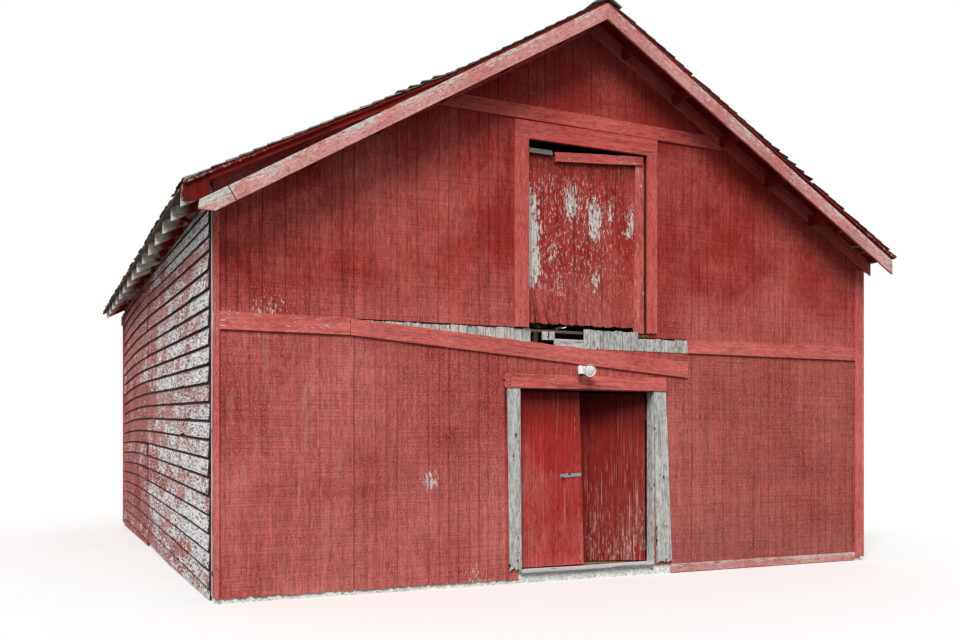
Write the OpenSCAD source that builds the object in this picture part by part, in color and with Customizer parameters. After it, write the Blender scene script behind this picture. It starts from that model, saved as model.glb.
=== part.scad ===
// Old red barn with a loft: plywood front, lapped board sides and back, shingle roof.
// X runs to the right along the front, Y from front to back, Z up from the ground.

/* [Overall] */
// Width over the side walls
barn_w = 7270; // [5800:10:9000]
// Length from the front wall's face to the back wall's face
barn_l = 8400; // [6400:10:12000]
// Height of the left wall's top plate above the ground
wall_h = 3495; // [3200:5:4600]

/* [Roof] */
// Pitch of the left slope above its sag
left_pitch_top = 30.7; // [28:0.1:34]
// Pitch of the left slope below its sag
left_pitch_low = 27.5; // [24:0.1:30]
// Distance of the sag from the ridge, level
kink_at = 1500; // [800:10:2000]
// Pitch of the right slope
right_pitch = 29.9; // [26:0.1:32]
// How far the left eave stands out from the wall
eave_over_left = 300; // [200:5:500]
// How far the right eave stands out from the wall
eave_over_right = 145; // [120:5:400]
// How far the roof stands out from the front and back walls
gable_over = 360; // [200:5:500]
// Thickness of the shingle cover
cover_t = 30; // [20:1:50]
// Level distance that one shingle course shows
shingle_run = 112; // [90:1:160]
// Thickness of the roof boards
deck_t = 22; // [18:1:40]
// Depth of a rafter
rafter_d = 100; // [90:1:240]
// Thickness of rafters, studs and joists
stick_t = 38; // [35:1:60]
// Spacing of rafters, studs and joists
stick_gap = 610; // [400:1:700]
// Thickness of the ridge board
ridge_board_t = 25; // [19:1:50]
// How far the ridge cap reaches down each slope, level
cap_reach = 150; // [80:5:250]
// Thickness of the ridge cap
cap_t = 18; // [10:1:30]

/* [Roof edges] */
// Pitch of the front board under the left slope
barge_pitch_left = 30.8; // [30.8:0.1:34]
// Pitch of the front board under the right slope
barge_pitch_right = 30.4; // [30:0.1:32]
// Depth of the sloping edge boards
barge_d = 132; // [90:1:240]
// Thickness of the sloping edge boards
barge_t = 25; // [19:1:40]
// How far the left edge board runs past the wall
barge_past_left = 161; // [100:1:200]
// How far the right edge board runs past the wall
barge_past_right = 80; // [40:1:110]
// How far the edge boards lie back from the roof's edge
barge_back = 10; // [0:1:30]
// Depth of the thin strip under the roof boards' edge
strip_d = 45; // [25:1:70]
// Depth of the board under the roof on the wall's face
frieze_d = 132; // [90:1:200]
// Level spacing of the short sticks that carry the edge boards
lookout_gap = 610; // [400:1:800]
// Depth of those sticks
lookout_d = 78; // [40:1:78]
// How far the short return board at the left eave stands out
return_out = 298; // [150:1:299]
// How far the return board reaches down behind the left edge board
return_lap = 37; // [5:1:80]

/* [Walls] */
// Thickness of the front's plywood sheets
sheet_t = 16; // [9:1:25]
// Depth of the stud frames
frame_t = 89; // [80:1:150]
// Thickness of the lapped boards at their butts
clap_t = 30; // [22:1:40]
// Height that one lapped board shows
clap_show = 155; // [100:1:250]
// How far a lapped board tapers back to its top
clap_taper = 14; // [6:1:18]
// Height and width of the sill beams
sill_s = 100; // [100:1:250]
// Thickness of floor and threshold boards
floor_t = 25; // [20:1:50]
// Height of the front left sheets' lower edge
sheet_foot_left = 40; // [20:1:120]
// Height of the front right sheets' lower edge
sheet_foot_right = 95; // [60:1:130]
// Height of the lapped boards' lower edge
clap_foot = 45; // [20:1:120]
// Thickness of the flat trim boards
trim_t = 19; // [15:1:30]
// Width of the left corner board on the front
corner_left_w = 50; // [40:1:150]
// Width of the right corner board on the front
corner_right_w = 130; // [40:1:150]
// Width of the back corners' boards
corner_back_w = 90; // [60:1:150]
// Gap between the lapped boards' ends and the front's sheets, with a strip in it
corner_gap = 99; // [95:1:130]
// Width of the strip that stands round the front corners, before that gap
corner_strip_w = 30; // [20:1:90]
// How far the corner boards stand out past the lapped boards
corner_proud = 8; // [4:1:20]

/* [Belt boards] */
// Height of the left belt board's lower edge
belt_left_z = 2300; // [2250:5:2400]
// Height of the right belt board's lower edge
belt_right_z = 2270; // [2220:5:2400]
// Depth of the belt boards
belt_d = 150; // [100:1:200]
// Distance of the fallen belt board's left end from the barn's middle
belt_joint_left = 2449; // [2200:1:2700]
// Distance of the fallen belt board's right end from the barn's middle
belt_joint_right = 1184; // [1070:1:1400]
// How far the fallen belt board's right end has dropped
belt_drop = 286; // [150:1:290]
// Height of the upper belt board's lower edge at the middle
upper_belt_z = 4440; // [4435:1:4500]
// Depth of the upper belt board
upper_belt_d = 135; // [100:1:160]
// Tilt of the upper belt board
upper_belt_tilt = 0.5; // [0:0.1:1]
// Left end of the open gap under the loft door, from the barn's middle
gap_left = 645; // [400:5:660]
// Right end of the open gap under the loft door, from the barn's middle
gap_right = 55; // [20:5:300]

/* [Doorway] */
// Width of the doorway
door_w = 1511; // [1200:1:1700]
// Height of the doorway's head above the ground
door_head_z = 1860; // [1800:1:1870]
// Thickness of the side jambs
jamb_t = 25; // [19:1:40]
// Width of the doorway's side boards
casing_w = 150; // [100:1:200]
// Thickness of the doorway's and loft door's side boards
casing_t = 25; // [19:1:32]
// How much wider the right side board is at its foot
casing_flare = 74; // [0:1:90]
// Depth of the board over the doorway
header_d = 135; // [100:1:140]
// How far the threshold stands out from the front
threshold_out = 30; // [0:1:80]

/* [Door leaves] */
// Thickness of the leaves' boards and ledges
leaf_t = 25; // [19:1:30]
// How much narrower a leaf is at its head
leaf_worn = 55; // [0:1:70]
// How far the leaves lie back from the front's face
leaf_back = 80; // [60:1:80]
// Number of boards in a leaf
leaf_boards = 5; // [4:1:7]
// Gap between a leaf and its jamb
hinge_gap = 8; // [6:1:12]
// Gap between the closed leaves
meet_gap = 10; // [8:1:16]
// Gap over and under a leaf
leaf_play = 10; // [6:1:20]
// Angle by which the right leaf stands open
ajar = 20; // [0:1:40]
// Depth of a ledge
ledge_d = 120; // [80:1:160]
// Radius of a hinge pin
pin_r = 8; // [6:0.5:10]
// Running clearance between a pin and its eye
pin_play = 0.05; // [0.02:0.01:0.1]
// Wall of a hinge eye
eye_wall = 6; // [4:0.5:8]
// Length of a hinge strap
strap_l = 430; // [250:10:600]
// Height of a hinge eye
eye_h = 50; // [30:1:80]

/* [Loft] */
// Height of the loft floor's top
loft_z = 2440; // [2430:5:2450]
// Width of the loft door's opening
loft_w = 1355; // [1100:5:1500]
// Height of the loft door's lower edge
loft_door_z = 2495; // [2480:5:2560]
// Height of the loft door
loft_door_h = 1645; // [1500:5:1660]
// Height of the opening's head
loft_head_z = 4260; // [4200:5:4270]
// Width of the left side board
loft_casing_left = 150; // [100:1:180]
// Width of the right side board
loft_casing_right = 120; // [100:1:180]
// Depth of the board over the opening
loft_casing_top = 170; // [120:1:175]
// Side of the square posts and depth of the beam under the loft
post_s = 140; // [100:1:200]

/* [Hidden] */
$fn = 48;

// The roof's cover is centred on the origin, and the walls follow from its overhangs
left_x = -barn_w / 2 + (eave_over_left - eave_over_right) / 2;
right_x = left_x + barn_w;
ridge_x = (left_x + right_x) / 2;
front_y = -barn_l / 2;
back_y = barn_l / 2;

// Faces of the stud frames
frame_left = left_x + clap_t;
frame_right = right_x - clap_t;
room_left = frame_left + frame_t;
room_right = frame_right - frame_t;
frame_front = front_y + sheet_t;
frame_back = back_y - clap_t;
room_front = frame_front + frame_t;
room_back = frame_back - frame_t;

// Roof heights: the left slope sags at kink_x, the right slope is straight
kink_x = ridge_x - kink_at;
function plumb(t) = t / cos(right_pitch);
function drop_left(d) = tan(left_pitch_top) * min(d, kink_at) + tan(left_pitch_low) * max(d - kink_at, 0);
function drop_right(d) = tan(right_pitch) * d;
roof_v = plumb(cover_t + deck_t + rafter_d);
ridge_h = wall_h + roof_v + drop_left(ridge_x - room_left);
right_wall_h = ridge_h - roof_v - drop_right(room_right - ridge_x);
function roof_z(x) = ridge_h - (x < ridge_x ? drop_left(ridge_x - x) : drop_right(x - ridge_x));
function deck_z(x) = roof_z(x) - plumb(cover_t);
function under_deck(x) = deck_z(x) - plumb(deck_t);
function under_rafter(x) = under_deck(x) - plumb(rafter_d);
function under_frieze(x) = under_deck(x) - plumb(frieze_d);

roof_left = left_x - eave_over_left;
roof_right = right_x + eave_over_right;
roof_front = front_y - gable_over;
roof_back = back_y + gable_over;
deck_in = 20;
tail_in = 45;

// Gaps: between pieces that butt, between a board and what is fixed on it, and in the roof's layers
joint = 0.5;
seat = 0.2;
layer_gap = 0.1;

// Heights
floor_z = sill_s + floor_t;
joist_d = 140;
joist_z = loft_z - floor_t - joist_d;
door_l = ridge_x - door_w / 2;
door_r = ridge_x + door_w / 2;
loft_l = ridge_x - loft_w / 2;
loft_r = ridge_x + loft_w / 2;
header_z = door_head_z + 10;
gable_foot_left = belt_left_z + belt_d;
gable_foot_right = belt_right_z + belt_d - 10;
belt_start_x = ridge_x - belt_joint_left;
belt_end_x = ridge_x + belt_joint_right;

// Door leaves
leaf_l = door_l + hinge_gap;
leaf_r = ridge_x - meet_gap / 2;
leaf_y = front_y + leaf_back;
ledge_y = leaf_y + leaf_t;
leaf_inner_y = ledge_y + leaf_t;
leaf_z0 = floor_z + leaf_play;
leaf_z1 = door_head_z - leaf_play;
eye_r = pin_r + pin_play + eye_wall;
pin_y = leaf_inner_y + 2 + eye_r;
strap_t = 6;
strap_z = [leaf_z0 + 170, leaf_z1 - 230];
barge_front = roof_front + barge_back;
barge_rear = barge_front + barge_t;

module block(x0, x1, y0, y1, z0, z1) {
    translate([x0, y0, z0]) cube([x1 - x0, y1 - y0, z1 - z0]);
}

// A shape drawn in X and Z, from y0 to y1
module from_front(y0, y1) {
    translate([0, y1, 0]) rotate([90, 0, 0]) linear_extrude(y1 - y0) children();
}

// A shape drawn in Y and Z, from x0 to x1
module from_side(x0, x1) {
    translate([x0, 0, 0]) rotate([90, 0, 90]) linear_extrude(x1 - x0) children();
}

// The doorway is centred on the ridge, so its right side mirrors its left side
module mirrored() {
    translate([2 * ridge_x, 0, 0]) mirror([1, 0, 0]) children();
}

module right_leaf_turn() {
    pin_x = door_r;
    translate([pin_x, pin_y, 0]) rotate([0, 0, -ajar]) translate([-pin_x, -pin_y, 0]) mirrored() children();
}

// Where the sticks stand in a frame that runs from a to b, evenly spaced with one at each end
function stick_count(a, b) = ceil((b - a - stick_t) / stick_gap);
function stick_at(a, b) = [for (i = [0 : stick_count(a, b)])
    a + i * (b - a - stick_t) / stick_count(a, b)];

// A level plate along a frame
module plate(a, b, z) {
    translate([a, z]) square([b - a, stick_t]);
}

// The upright studs of a frame between two heights
module studs(a, b, z0, z1) {
    for (x = stick_at(a, b)) translate([x, z0 + joint]) square([stick_t, z1 - z0 - 2 * joint]);
}

// Short blocks between the sticks at each height
module blocks(a, b, heights) {
    at = stick_at(a, b);
    for (i = [0 : len(at) - 2], z = heights)
        translate([at[i] + stick_t + joint, z])
            square([at[i + 1] - at[i] - stick_t - 2 * joint, stick_t]);
}

// The front or back wall below a roof line that lies v under the boards
module gable_outline(x0, x1, z0, v) {
    tops = [for (x = [x1, ridge_x, kink_x, x0]) if (x >= x0 && x <= x1) x];
    polygon(concat([[x0, z0], [x1, z0]], [for (x = tops) [x, under_deck(x) - v]]));
}

// A layer of the roof between two depths under its top
module roof_layer(xs, top, bottom) {
    polygon(concat([for (x = xs) [x, roof_z(x) - top]],
                   [for (i = [len(xs) - 1 : -1 : 0]) [xs[i], roof_z(xs[i]) - bottom]]));
}

// Sills and floor

module sills() {
    color("dimgray") {
        block(frame_left, frame_left + sill_s, frame_front, frame_back, 0, sill_s);
        block(frame_right - sill_s, frame_right, frame_front, frame_back, 0, sill_s);
        for (y = [frame_front, frame_back - sill_s])
            block(frame_left + sill_s + joint, frame_right - sill_s - joint, y, y + sill_s, 0, sill_s);
    }
}

module floor_joists() {
    joist_foot = 20;
    color("burlywood") for (y = stick_at(frame_front + sill_s, frame_back - sill_s))
        block(frame_left + sill_s, frame_right - sill_s, y, y + stick_t, joist_foot, sill_s);
}

module floor_boards() {
    color("tan") block(room_left, room_right, room_front, room_back, sill_s, floor_z);
}

module threshold() {
    color("lightgray")
        block(door_l, door_r, front_y - threshold_out, room_front, sill_s, floor_z);
}

// Stud frames: plates, studs and the short blocks between them

mid_z = (sill_s + joist_z) / 2;
gable_mid_z = (loft_z + loft_head_z) / 2;
beam_d = 140;

module side_frame(top) {
    plate(frame_front, frame_back, sill_s);
    plate(frame_front, frame_back, top - stick_t);
    studs(frame_front, frame_back, sill_s + stick_t, top - stick_t);
}

// Blocks stand in the bays, so a bay's studs are cut by nothing
module side_frames() {
    color("burlywood") {
        from_side(frame_left, room_left) side_frame(wall_h);
        from_side(room_right, frame_right) side_frame(right_wall_h);
        for (x = [frame_left, room_right])
            from_side(x, x + frame_t) blocks(frame_front, frame_back, [mid_z, joist_z]);
    }
}

module back_frame() {
    color("burlywood") from_front(room_back, frame_back) {
        plate(room_left, room_right, sill_s);
        intersection() {
            union() {
                studs(room_left, room_right, sill_s + stick_t, ridge_h);
                blocks(room_left, room_right, [mid_z, joist_z, wall_h]);
            }
            gable_outline(room_left, room_right, 0, plumb(rafter_d) + seat);
        }
    }
}

module front_frame_half() {
    x1 = door_l - jamb_t;
    plate(room_left, x1, sill_s);
    plate(room_left, x1, joist_z - stick_t);
    studs(room_left, x1, sill_s + stick_t, joist_z - stick_t);
    blocks(room_left, x1, [mid_z]);
}

module front_frame() {
    color("burlywood") {
        from_front(frame_front, room_front) front_frame_half();
        mirrored() from_front(frame_front, room_front) front_frame_half();
    }
}

module door_lintel() {
    x0 = door_l - jamb_t;
    x1 = door_r + jamb_t;
    color("burlywood") from_front(frame_front, room_front) {
        translate([x0, door_head_z]) square([x1 - x0, beam_d]);
        plate(x0, x1, joist_z - stick_t);
        studs(x0, x1, door_head_z + beam_d, joist_z - stick_t);
    }
}

module gable_half(x0, x1) {
    plate(x0, x1, loft_z);
    intersection() {
        union() {
            studs(x0, x1, loft_z + stick_t, ridge_h);
            blocks(x0, x1, [gable_mid_z]);
        }
        gable_outline(x0, x1, 0, plumb(rafter_d) + seat);
    }
}

module gable_frame() {
    color("burlywood") from_front(frame_front, room_front) {
        gable_half(room_left, loft_l);
        gable_half(loft_r, room_right);
    }
}

module loft_lintel() {
    z = loft_head_z + 20;
    color("burlywood") from_front(frame_front, room_front) {
        translate([loft_l, z]) square([loft_w, beam_d]);
        intersection() {
            studs(loft_l, loft_r, z + beam_d, ridge_h);
            gable_outline(loft_l, loft_r, 0, plumb(rafter_d) + seat);
        }
    }
}

// Loft

module loft_beam() {
    post_x = (room_right - room_left) / 6;
    color("burlywood") {
        block(room_left, room_right, -post_s / 2, post_s / 2, joist_z - post_s, joist_z);
        for (x = [ridge_x - post_x, ridge_x + post_x])
            block(x - post_s / 2, x + post_s / 2, -post_s / 2, post_s / 2, floor_z, joist_z - post_s + 1);
    }
}

module loft_joists() {
    color("gray") for (x = stick_at(room_left, room_right))
        block(x, x + stick_t, frame_front, room_back, joist_z, loft_z - floor_t);
}

module loft_floor() {
    color("tan")
        block(room_left, room_right, frame_front, room_back, loft_z - floor_t, loft_z);
}

// Front siding

module front_siding_left() {
    color("firebrick")
        block(left_x, door_l - jamb_t, front_y, frame_front, sheet_foot_left, belt_left_z);
}

module front_siding_right() {
    color("firebrick")
        block(door_r + jamb_t, right_x, front_y, frame_front, sheet_foot_right, belt_right_z);
}

module siding_over_door() {
    color("firebrick")
        block(door_l - jamb_t, door_r + jamb_t, front_y, frame_front, door_head_z, belt_right_z);
}

module gable_siding_left() {
    color("firebrick") from_front(front_y, frame_front)
        gable_outline(left_x, loft_l, gable_foot_left, 0);
}

module gable_siding_right() {
    color("firebrick") from_front(front_y, frame_front)
        gable_outline(loft_r, right_x, gable_foot_right, 0);
}

module gable_siding_top() {
    color("firebrick") from_front(front_y, frame_front)
        gable_outline(loft_l, loft_r, loft_head_z, 0);
}

// To the right of the gap the boards reach up behind the loft door's foot
module old_boards() {
    x0 = ridge_x - gap_right;
    x1 = loft_r - 95;
    top = loft_z + 30;
    color("lightgray") {
        block(left_x, ridge_x - gap_left, front_y, frame_front, belt_left_z, gable_foot_left);
        from_front(front_y, frame_front)
            polygon([[x0, belt_right_z], [right_x, belt_right_z], [right_x, gable_foot_right],
                     [x1, gable_foot_right], [x1, top], [x0, top]]);
    }
}

module skirt_board() {
    color("rosybrown")
        block(door_r + casing_w + casing_flare, right_x - corner_right_w, front_y - corner_proud,
              frame_front, 5, sheet_foot_right);
}

// Lapped boards: each course stands out at its butt and tapers back to its top

function clap_count(top) = ceil((top - clap_foot) / clap_show);
function clap_outline(face, out, top) = concat(
    [[face, top], [face, clap_foot]],
    [for (i = [0 : clap_count(top) - 1], k = [0, 1])
        let (z = clap_foot + i * clap_show)
        k == 0 ? [face + out * clap_t, z]
               : [face + out * (clap_t - clap_taper), min(z + clap_show, top)]]);

module left_clapboards() {
    color("rosybrown") from_front(frame_front + corner_gap, back_y - corner_back_w)
        polygon(clap_outline(frame_left, -1, under_rafter(left_x)));
}

module right_clapboards() {
    color("rosybrown") from_front(frame_front + corner_gap, back_y - corner_back_w)
        polygon(clap_outline(frame_right, 1, under_rafter(right_x)));
}

module back_clapboards() {
    x0 = left_x + corner_back_w;
    x1 = right_x - corner_back_w;
    color("rosybrown") difference() {
        intersection() {
            from_side(x0, x1) polygon(clap_outline(frame_back, 1, ridge_h));
            from_front(frame_back - 1, back_y + 1) gable_outline(x0, x1, 0, 0);
        }
        for (x = lookout_places) lookout(x, frame_back - 1, -barge_rear);
    }
}

// Corner boards: one and a strip round the corner at the front, two at each back corner

module corner_boards() {
    left_out = left_x - corner_proud;
    right_out = right_x + corner_proud;
    left_top = min(under_rafter(left_out), under_frieze(left_out));
    right_top = min(under_rafter(right_out), under_frieze(right_out));
    foot = sheet_foot_left;
    back_out = back_y + corner_proud;
    side_back = frame_back - joint;
    color("indianred") {
        block(left_x, left_x + corner_left_w, front_y - trim_t, front_y, foot, left_top);
        block(right_x - corner_right_w, right_x, front_y - trim_t, front_y, foot, right_top);
        block(left_out, frame_left, frame_front, frame_front + corner_strip_w, foot, left_top);
        block(frame_right, right_out, frame_front, frame_front + corner_strip_w, foot, right_top);
        block(left_out, left_x + corner_back_w, frame_back, back_out, foot, left_top);
        block(right_x - corner_back_w, right_out, frame_back, back_out, foot, right_top);
        block(left_out, frame_left, back_y - corner_back_w, side_back, foot, left_top);
        block(frame_right, right_out, back_y - corner_back_w, side_back, foot, right_top);
    }
}

// Belt boards across the front

module upper_belt() {
    intersection() {
        translate([ridge_x, upper_belt_z]) rotate(-upper_belt_tilt)
            translate([-barn_w / 2, 0]) square([barn_w, upper_belt_d]);
        gable_outline(frame_left, frame_right, 0, plumb(frieze_d) + seat);
    }
}

module belt_boards() {
    x0 = left_x + corner_left_w;
    x1 = right_x - corner_right_w;
    y0 = front_y - trim_t;
    color("indianred") {
        block(x0, belt_start_x, y0, front_y, belt_left_z, belt_left_z + belt_d);
        block(belt_end_x, x1, y0, front_y, belt_right_z, gable_foot_right);
        from_front(y0, front_y) upper_belt();
    }
}

module fallen_belt_board() {
    z1 = belt_left_z - belt_drop;
    split = 15;
    color("indianred") from_front(front_y - trim_t, front_y)
        polygon([[belt_start_x, belt_left_z], [belt_end_x, z1], [belt_end_x, z1 + belt_d + split],
                 [belt_start_x, belt_left_z + belt_d]]);
}

// Doorway

module door_casings() {
    rotted = 70;
    casing_worn = 18;
    casing_lean = 24;
    casing_in = 48;
    foot = sheet_foot_left + rotted;
    color("gainsboro") from_front(front_y - casing_t, front_y) {
        polygon([[door_l - casing_w + casing_lean, foot], [door_l, foot],
                 [door_l - casing_worn, header_z], [door_l - casing_w, header_z]]);
        polygon([[door_r + casing_in, foot], [door_r + casing_w + casing_flare, foot],
                 [door_r + casing_w, header_z], [door_r, header_z]]);
    }
}

module door_jambs() {
    color("gainsboro") for (x = [door_l - jamb_t, door_r])
        block(x, x + jamb_t, front_y, room_front, sill_s, door_head_z);
}

module door_header() {
    past_left = 195;
    past_right = 148;
    layer_d = 95;
    layer_t = 12;
    layer_short = 40;
    x0 = door_l - past_left;
    x1 = door_r + past_right;
    y0 = front_y - casing_t;
    color("indianred") {
        block(x0, x1, y0, front_y, header_z, header_z + header_d);
        block(x0 + layer_short, x1, y0 - layer_t, y0 - seat, header_z, header_z + layer_d);
    }
}

// Door leaves: upright boards on ledges and a brace, hung on strap hinges inside

// Upright boards from x0 to x1 in one slab, with a groove at each joint on the face at y
module board_slab(x0, x1, y, z0, z1, boards, groove_w, groove_d) {
    board_w = (x1 - x0) / boards;
    difference() {
        block(x0, x1, y, y + leaf_t, z0, z1);
        for (i = [1 : boards - 1])
            block(x0 + i * board_w - groove_w / 2, x0 + i * board_w + groove_w / 2,
                  y - 1, y + groove_d, z0 - 1, z1 + 1);
    }
}

// A leaf's free edge leans in towards its head
function leaf_edge(z) = leaf_r - leaf_worn * (z - leaf_z0) / (leaf_z1 - leaf_z0);

module leaf_slab() {
    ledge_short = 15;
    brace_in = 20;
    brace_w = 110;
    z0 = strap_z[0] + ledge_d / 2 + joint;
    z1 = strap_z[1] - ledge_d / 2 - joint;
    x0 = leaf_l + brace_in;
    x1 = leaf_r - ledge_short - brace_in;
    difference() {
        union() {
            board_slab(leaf_l, leaf_r, leaf_y, leaf_z0, leaf_z1, leaf_boards, 3, 6);
            for (z = strap_z)
                block(leaf_l, leaf_r - ledge_short, ledge_y + seat, leaf_inner_y,
                      z - ledge_d / 2, z + ledge_d / 2);
            from_front(ledge_y + seat, leaf_inner_y)
                polygon([[x0, z0], [x0 + brace_w, z0], [x1, z1], [x1 - brace_w, z1]]);
        }
        from_front(leaf_y - 1, leaf_inner_y + 1)
            polygon([[leaf_edge(leaf_z0 - 1), leaf_z0 - 1], [leaf_r + 1, leaf_z0 - 1],
                     [leaf_r + 1, leaf_z1 + 1], [leaf_edge(leaf_z1 + 1), leaf_z1 + 1]]);
    }
}

module strap(z) {
    half_w = 18;
    difference() {
        union() {
            block(door_l, leaf_l + strap_l, leaf_inner_y, leaf_inner_y + strap_t, z - half_w, z + half_w);
            translate([door_l, pin_y, z - eye_h / 2]) cylinder(r = eye_r, h = eye_h);
        }
        translate([door_l, pin_y, z - eye_h]) cylinder(r = pin_r + pin_play, h = 2 * eye_h);
    }
}

// A pin on an arm that stands out from a plate on the frame
module pintle(z) {
    arm_top = z - eye_h / 2 - 0.3;
    arm_h = 15;
    arm_w = 22;
    pin_past = 10;
    plate_w = 57;
    plate_down = 25;
    plate_up = 75;
    plate_x = door_l - 5;
    translate([door_l, pin_y, arm_top - arm_h]) cylinder(r = pin_r, h = arm_h + eye_h + pin_past);
    block(door_l - arm_w, door_l + 2, room_front, pin_y + pin_r, arm_top - arm_h, arm_top);
    block(plate_x - plate_w, plate_x, room_front, room_front + strap_t,
          arm_top - plate_down, arm_top + plate_up);
}

module hinge_pintles() {
    color("dimgray") for (z = strap_z) {
        pintle(z);
        mirrored() pintle(z);
    }
}

module left_leaf() {
    color("firebrick") leaf_slab();
}

module right_leaf() {
    color("brown") right_leaf_turn() leaf_slab();
}

module left_leaf_iron() {
    hasp_z = 1030;
    hasp_l = 240;
    hasp_w = 34;
    hasp_t = 5;
    hasp_tilt = 3;
    edge_gap = 8;
    knob_r = 13;
    knob_l = 28;
    color("silver") {
        for (z = strap_z) strap(z);
        translate([leaf_edge(hasp_z) - edge_gap, leaf_y, hasp_z]) rotate([0, -hasp_tilt, 0]) {
            translate([-hasp_l, -hasp_t, -hasp_w / 2]) cube([hasp_l, hasp_t, hasp_w]);
            translate([knob_r * 2 - hasp_l, -hasp_t, 0]) rotate([90, 0, 0])
                cylinder(r = knob_r, h = knob_l);
        }
    }
}

module right_leaf_iron() {
    color("silver") right_leaf_turn() for (z = strap_z) strap(z);
}

// Loft door

module loft_side_casings() {
    foot = gable_foot_left;
    color("indianred") {
        block(loft_l - loft_casing_left, loft_l, front_y - casing_t, front_y, foot, loft_head_z);
        block(loft_r, loft_r + loft_casing_right, front_y - casing_t, front_y, foot, loft_head_z);
    }
}

module loft_top_casing() {
    color("indianred")
        block(loft_l - loft_casing_left, loft_r + loft_casing_right, front_y - casing_t, front_y,
              loft_head_z, loft_head_z + loft_casing_top);
}

module loft_door() {
    play = 8;
    ledge_in = 200;
    x1 = loft_r - play;
    y0 = frame_front + trim_t;
    z1 = loft_door_z + loft_door_h;
    color("firebrick") {
        board_slab(loft_l, x1, y0, loft_door_z, z1, 7, 4, 8);
        for (z = [loft_door_z + ledge_in, z1 - ledge_in - ledge_d])
            block(loft_l, x1, y0 + leaf_t + seat, y0 + 2 * leaf_t, z, z + ledge_d);
    }
}

// A slipped upright stop, a slipped rail in front of it and the block that held the rail
module loft_door_stops() {
    stop_w = 130;
    stop_lean = 12;
    rail_l = 1063;
    rail_d = 92;
    rail_rise = 80;
    rail_z = loft_head_z - 180;
    block_z = rail_z + 56;
    block_d = 45;
    foot = loft_z + 10;
    top = loft_head_z - 85;
    rail_x = loft_r - rail_l;
    rail_x1 = loft_r - 35;
    color("indianred") {
        from_front(frame_front, frame_front + trim_t) polygon([
            [loft_r - stop_w - stop_lean, foot], [loft_r, foot], [loft_r, top],
            [loft_r - stop_w + stop_lean, top]]);
        from_front(front_y, frame_front - seat) polygon([
            [rail_x, rail_z], [rail_x1, rail_z + rail_rise], [rail_x1, rail_z + rail_rise + rail_d],
            [rail_x, rail_z + rail_d]]);
        block(loft_l, rail_x - 10, front_y, frame_front, block_z, block_z + block_d);
    }
}

// Roof frame: each rafter has a plumb tail, a notch over its wall plate and a plumb ridge cut

module left_rafter() {
    x0 = left_x - eave_over_left + tail_in;
    x1 = ridge_x - ridge_board_t / 2;
    polygon([[x0, under_deck(x0)], [x0, under_rafter(x0)], [frame_left, under_rafter(frame_left)],
             [frame_left, wall_h], [room_left, wall_h], [kink_x, under_rafter(kink_x)],
             [x1, under_rafter(x1)], [x1, under_deck(x1)], [kink_x, under_deck(kink_x)]]);
}

module right_rafter() {
    x0 = right_x + eave_over_right - tail_in;
    x1 = ridge_x + ridge_board_t / 2;
    polygon([[x0, under_deck(x0)], [x0, under_rafter(x0)], [frame_right, under_rafter(frame_right)],
             [frame_right, right_wall_h], [room_right, right_wall_h], [x1, under_rafter(x1)],
             [x1, under_deck(x1)]]);
}

module left_rafters() {
    color("darkgray") for (y = stick_at(frame_front, frame_back))
        from_front(y, y + stick_t) left_rafter();
}

module right_rafters() {
    color("darkgray") for (y = stick_at(frame_front, frame_back))
        from_front(y, y + stick_t) right_rafter();
}

module ridge_board() {
    x0 = ridge_x - ridge_board_t / 2;
    color("darkgray") block(x0, x0 + ridge_board_t, frame_front, frame_back,
                            under_rafter(ridge_x), under_deck(x0));
}

module deck(xs) {
    from_front(roof_front + deck_in / 2, roof_back - deck_in / 2)
        roof_layer(xs, plumb(cover_t) + layer_gap, plumb(cover_t + deck_t) - layer_gap);
}

module left_deck() {
    color("gray") {
        deck([roof_left + deck_in, kink_x - joint / 2]);
        deck([kink_x + joint / 2, ridge_x]);
    }
}

module right_deck() {
    color("gray") deck([ridge_x, roof_right - deck_in]);
}

// Shingles: each course is thick at its butt and thins towards the next one above it
module shingle_slope(edge, inner) {
    courses = round(abs(ridge_x - edge) / shingle_run);
    run = (ridge_x - edge) / courses;
    step = plumb(cover_t * 0.6);
    polygon(concat(
        [for (x = inner) [x, deck_z(x)]],
        [for (i = [0 : courses - 1], k = [0, 1])
            [edge + (i + k) * run, roof_z(edge + (i + k) * run) - k * step]]));
}

module left_shingles() {
    spans = [[roof_left, kink_x - joint / 2], [kink_x + joint / 2, ridge_x]];
    color("dimgray") for (span = spans) from_front(roof_front, roof_back) intersection() {
        shingle_slope(roof_left, [ridge_x, kink_x, roof_left]);
        translate([span[0], 0]) square([span[1] - span[0], 2 * ridge_h]);
    }
}

module right_shingles() {
    color("dimgray") from_front(roof_front, roof_back)
        shingle_slope(roof_right, [ridge_x, roof_right]);
}

module ridge_cap() {
    color("slategray") from_front(roof_front, roof_back) {
        roof_layer([ridge_x - cap_reach, ridge_x - joint / 2], -cap_t, 0);
        roof_layer([ridge_x + joint / 2, ridge_x + cap_reach], -cap_t, 0);
    }
}

// Roof edges at the gables

module rake_frieze() {
    half = joint / 2;
    spans = [[left_x, kink_x - half], [kink_x + half, ridge_x - half],
             [ridge_x + half, right_x + eave_over_right - tail_in]];
    color("indianred") for (span = spans) from_front(front_y - trim_t, front_y)
        roof_layer(span, plumb(cover_t + deck_t), plumb(cover_t + deck_t + frieze_d));
}

function barge_top(x) = under_deck(ridge_x) - abs(x - ridge_x)
    * tan(x < ridge_x ? barge_pitch_left : barge_pitch_right);

function barge_foot(x) = barge_top(x) - plumb(barge_d);

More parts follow.
